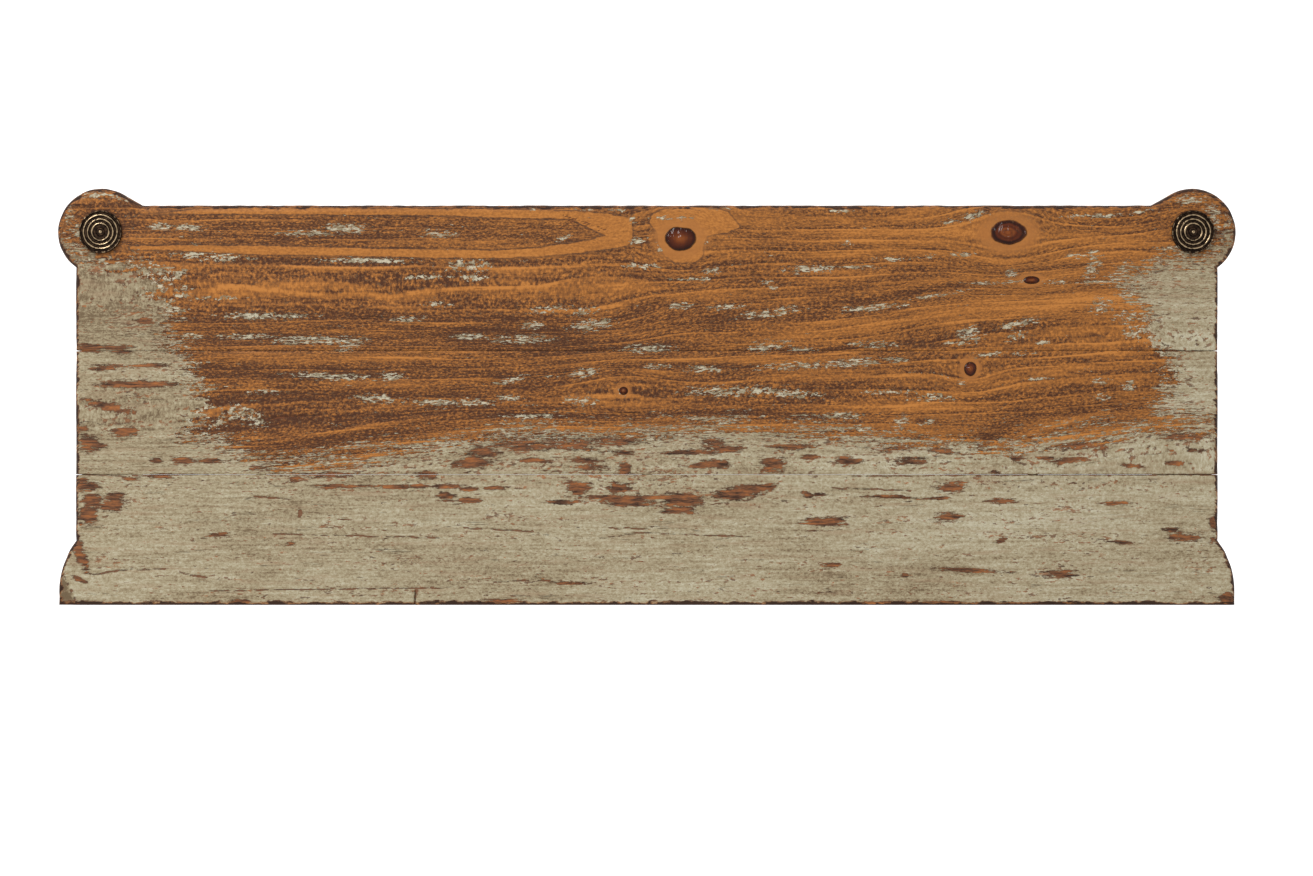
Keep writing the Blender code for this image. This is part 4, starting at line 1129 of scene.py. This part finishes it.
def makeTimbers():
    sides = ("left", "right")
    kinds = [(f"bracket_{kind}_{side}", axis) for kind, axis in timber["longAxes"] for side in sides]
    for number, (node, longAxis) in enumerate([*kinds, ("back_rail", 0)], start=3):
        mesh, lines = timberMesh(node, longAxis)
        finishTimber(mesh, lines, longAxis, number, "brace" in node)
        mesh.shade_smooth()
        mesh.set_sharp_from_angle(angle=math.radians(30))
        item = makeObject("worn_" + node, mesh, bracketFinish)
        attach(item, "root")
        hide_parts(node)
        print(node, "made with", len(mesh.polygons), "faces")


makeTimbers()


# ---- medallions: turned rings, dark in the grooves and bright on the crests, worn metal with a painted highlight

medallion = {
    "radius": 16.7,
    "crests": (6.6, 9.8, 13.0, 16.0),
    "crestHeight": 1.3,
    "crestHalf": 1.05,
    "face": 1.55,
    "dome": 3.5,
    "domeHeight": 1.5,
    "groove": 0.75,
    "grooveAt": 1.75,
    "grooveHalf": 0.5,
    "rimWidth": 0.35,
    "profileSteps": 78,
    # crests inside this radius get full brightness, the outer rim less: worn metal, partly painted highlight
    "brightCrestsTo": 14.5,
    "rimRubAndHighlight": 0.86,
    "skirt": 12.5,
    "skirtDepth": 3.5,
    "sheet": 1.4,
    "steps": 96,
    "tilt": 0.006,
    "darkBronze": ((34, 26, 22), (74, 56, 42)),
    # bright colour of the crests and dome: worn metal, partly painted highlight
    "rubAndHighlightBronze": (194, 168, 132),
}


def medallionProfile():
    m = medallion
    points = []
    for r in np.linspace(0, m["radius"] - m["rimWidth"], m["profileSteps"]):
        rise = 0.0
        for crest in m["crests"]:
            share = abs(r - crest) / m["crestHalf"]
            rise = max(rise, m["crestHeight"] * max(0, 1 - share * share) ** 0.6)
        if r < m["dome"]:
            rise = m["domeHeight"] * math.sqrt(max(0, 1 - (r / m["dome"]) ** 2))
            rise -= m["groove"] * math.exp(-(((r - m["grooveAt"]) / m["grooveHalf"]) ** 2))
        # brightness rises with height on the crests and dome: worn metal, partly painted highlight
        crestRubAndHighlight = min(1, rise / m["crestHeight"])
        points.append((r, m["face"] + rise, crestRubAndHighlight if r < m["brightCrestsTo"] else crestRubAndHighlight * m["rimRubAndHighlight"]))
    rim = m["radius"]
    points += [(rim - 0.1, m["face"] + 0.5, 0.5), (rim, m["face"] - 0.2, 0.3), (rim, 0.35, 0.0)]
    outer, inner = m["skirt"], m["skirt"] - m["sheet"]
    points += [(outer, 0.3, 0.0), (outer, -m["skirtDepth"], 0.0), (inner, -m["skirtDepth"], 0.0)]
    points += [(inner, 0.0, 0.0), (0.0, 0.0, 0.0)]
    return points


def bronzeFinish():
    material, tree, shader = newMaterial("agedBronze")
    crestRubAndHighlight = attribute(tree, "crest", "Fac")
    place = attribute(tree, "turned")
    stain = noise(tree, place, (2.6, 2.6, 2.6), 4, 0.6, 3.0)
    scratch = noise(tree, place, (0.35, 5, 5), 3, 0.6, 8.0)
    # bright crests: worn metal, partly painted highlight
    rubAndHighlightShare = span(tree, sway(tree, stain, 0.7, crestRubAndHighlight), 0.82, 1.03)
    low, high = (paintColour(*colour) for colour in medallion["darkBronze"])
    dark = blend(tree, span(tree, stain, 0.35, 0.7), low, high)
    colour = blend(tree, rubAndHighlightShare, dark, paintColour(*medallion["rubAndHighlightBronze"]))
    tree.links.new(colour, shader["Base Color"])
    shader["Metallic"].default_value = 1.0
    tree.links.new(span(tree, rubAndHighlightShare, 0.0, 1.0, 0.42, 0.24), shader["Roughness"])
    height = timesPlus(tree, stain, 0.6, times(tree, scratch, 0.4))
    bumpInto(tree, shader, height, 0.00012)
    return material


def makeMedallions():
    m = medallion
    bronze = bronzeFinish()
    profile = medallionProfile()
    for side, sign in (("left", -1), ("right", 1)):
        low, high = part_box("medallion_" + side)
        middle = [(low[n] + high[n]) / 2 for n in range(2)]
        chance = np.random.default_rng(12 + sign)
        tilt = chance.uniform(-m["tilt"], m["tilt"], 2)
        bm = bmesh.new()
        crest = bm.verts.layers.float.new("crest")
        turned = bm.verts.layers.float_vector.new("turned")
        rings = []
        for r, z, crestRubAndHighlight in profile:
            count = 1 if r == 0 else m["steps"]
            ring = []
            for n in range(count):
                angle = math.tau * n / m["steps"]
                wobble = 1 + 0.0035 * math.sin(3 * angle + sign) + 0.0025 * math.sin(7 * angle)
                x, y = r * wobble * math.cos(angle), r * wobble * math.sin(angle)
                lift = z + (x * tilt[0] + y * tilt[1] if z > 0.4 else 0)
                v = bm.verts.new((middle[0] + x * mm, middle[1] + y * mm, boardTop + lift * mm))
                v[crest] = crestRubAndHighlight
                v[turned] = (r, x, y)
                ring.append(v)
            rings.append(ring)
        for inner, outer in zip(rings, rings[1:]):
            for n in range(m["steps"]):
                corners = [inner[n % len(inner)], outer[n % len(outer)], outer[(n + 1) % len(outer)],
                           inner[(n + 1) % len(inner)]]
                bm.faces.new(list(dict.fromkeys(corners)))
        bmesh.ops.recalc_face_normals(bm, faces=bm.faces)
        mesh = bpy.data.meshes.new("medallion" + side)
        bm.to_mesh(mesh)
        bm.free()
        mesh.shade_smooth()
        mesh.set_sharp_from_angle(angle=math.radians(50))
        item = makeObject("ringMedallion_" + side, mesh, bronze)
        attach(item, "root")
        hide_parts("medallion_" + side)
    print("medallions made")


makeMedallions()


# ---- pins and fixings keep their CAD shape and take a finish

def pinFinish():
    material, tree, shader = newMaterial("pinWood")
    place = tree.nodes.new("ShaderNodeTexCoord").outputs["Object"]
    pores = noise(tree, place, (0.0009, 0.0009, 0.0009), 3, 0.6, 2.0)
    rings = noise(tree, place, (0.006, 0.0022, 0.0022), 3, 0.6, 5.0)
    tone = timesPlus(tree, pores, 0.5, times(tree, rings, 0.5))
    colour = ramp(tree, tone, [
        (0.35, paintColour(92, 58, 34)), (0.5, paintColour(140, 94, 54)), (0.68, paintColour(171, 124, 76)),
    ])
    tree.links.new(colour, shader["Base Color"])
    tree.links.new(span(tree, tone, 0.3, 0.7, 0.66, 0.5), shader["Roughness"])
    bumpInto(tree, shader, tone, 0.0002)
    return material


def zincFinish():
    material, tree, shader = newMaterial("dullZinc")
    place = tree.nodes.new("ShaderNodeTexCoord").outputs["Object"]
    spangle = noise(tree, place, (0.0015, 0.0015, 0.0015), 3, 0.6, 2.0)
    turning = noise(tree, place, (0.02, 0.02, 0.0003), 2, 0.5, 6.0)
    colour = blend(tree, spangle, paintColour(126, 126, 122), paintColour(188, 188, 182))
    tree.links.new(colour, shader["Base Color"])
    shader["Metallic"].default_value = 1.0
    tree.links.new(span(tree, spangle, 0.3, 0.7, 0.5, 0.32), shader["Roughness"])
    bumpInto(tree, shader, turning, 0.00006)
    return material


def finishFixings():
    pin = pinFinish()
    zinc = zincFinish()
    for name, item in nodes.items():
        if "peg" in name or "dowel" in name:
            choice = pin
        elif "screw" in name or "bolt" in name or "washer" in name:
            choice = zinc
        else:
            continue
        item.data.materials.clear()
        item.data.materials.append(choice)
    print("fixings finished")


finishFixings()


# ---- studio: pale floor, even daylight and one soft key from the front right

studio = {
    "floorDepth": 0.75,
    "floorSize": 32.0,
    "floorTint": 0.93,
    "floorGlow": 0.6,
    "skyStrength": 0.74,
    "keyPlace": (1.15, -1.5, 1.9),
    "keySize": 0.9,
    "keyPower": 30.0,
    "lens": 100.0,
    "clip": 60.0,
    "cameraHeight": 2.825,
    "cameraX": -0.0075,
    "cameraY": -0.1294,
}


def makeStudio():
    s = studio
    bm = bmesh.new()
    bmesh.ops.create_grid(bm, x_segments=8, y_segments=8, size=s["floorSize"] / 2)
    mesh = bpy.data.meshes.new("floor")
    bm.to_mesh(mesh)
    bm.free()
    material, _, shader = newMaterial("paleFloor")
    shader["Base Color"].default_value = grey(s["floorTint"])
    shader["Roughness"].default_value = 0.9
    shader["Emission Color"].default_value = grey(1.0)
    shader["Emission Strength"].default_value = s["floorGlow"]
    floor = makeObject("floor", mesh, material)
    floor.location = (0, 0, boardBottom - s["floorDepth"])
    world = bpy.data.worlds.new("studio")
    world.use_nodes = True
    sky = world.node_tree.nodes["Background"].inputs
    sky["Color"].default_value = grey(1.0)
    sky["Strength"].default_value = s["skyStrength"]
    scene.world = world
    key = bpy.data.lights.new("key", "AREA")
    key.energy = s["keyPower"]
    key.size = s["keySize"]
    lamp = bpy.data.objects.new("key", key)
    lamp.location = s["keyPlace"]
    aim = Vector((0, -0.15, boardTop)) - lamp.location
    lamp.rotation_euler = aim.to_track_quat("-Z", "Y").to_euler()
    scene.collection.objects.link(lamp)
    view = bpy.data.cameras.new("camera")
    view.lens = s["lens"]
    view.clip_end = s["clip"]
    camera = bpy.data.objects.new("camera", view)
    camera.location = (s["cameraX"], s["cameraY"], boardTop + s["cameraHeight"])
    camera.rotation_euler = (0, 0, math.pi)
    scene.collection.objects.link(camera)
    scene.camera = camera
    scene.view_settings.view_transform = "Standard"
    scene.view_settings.look = "None"


makeStudio()
print("studio set")
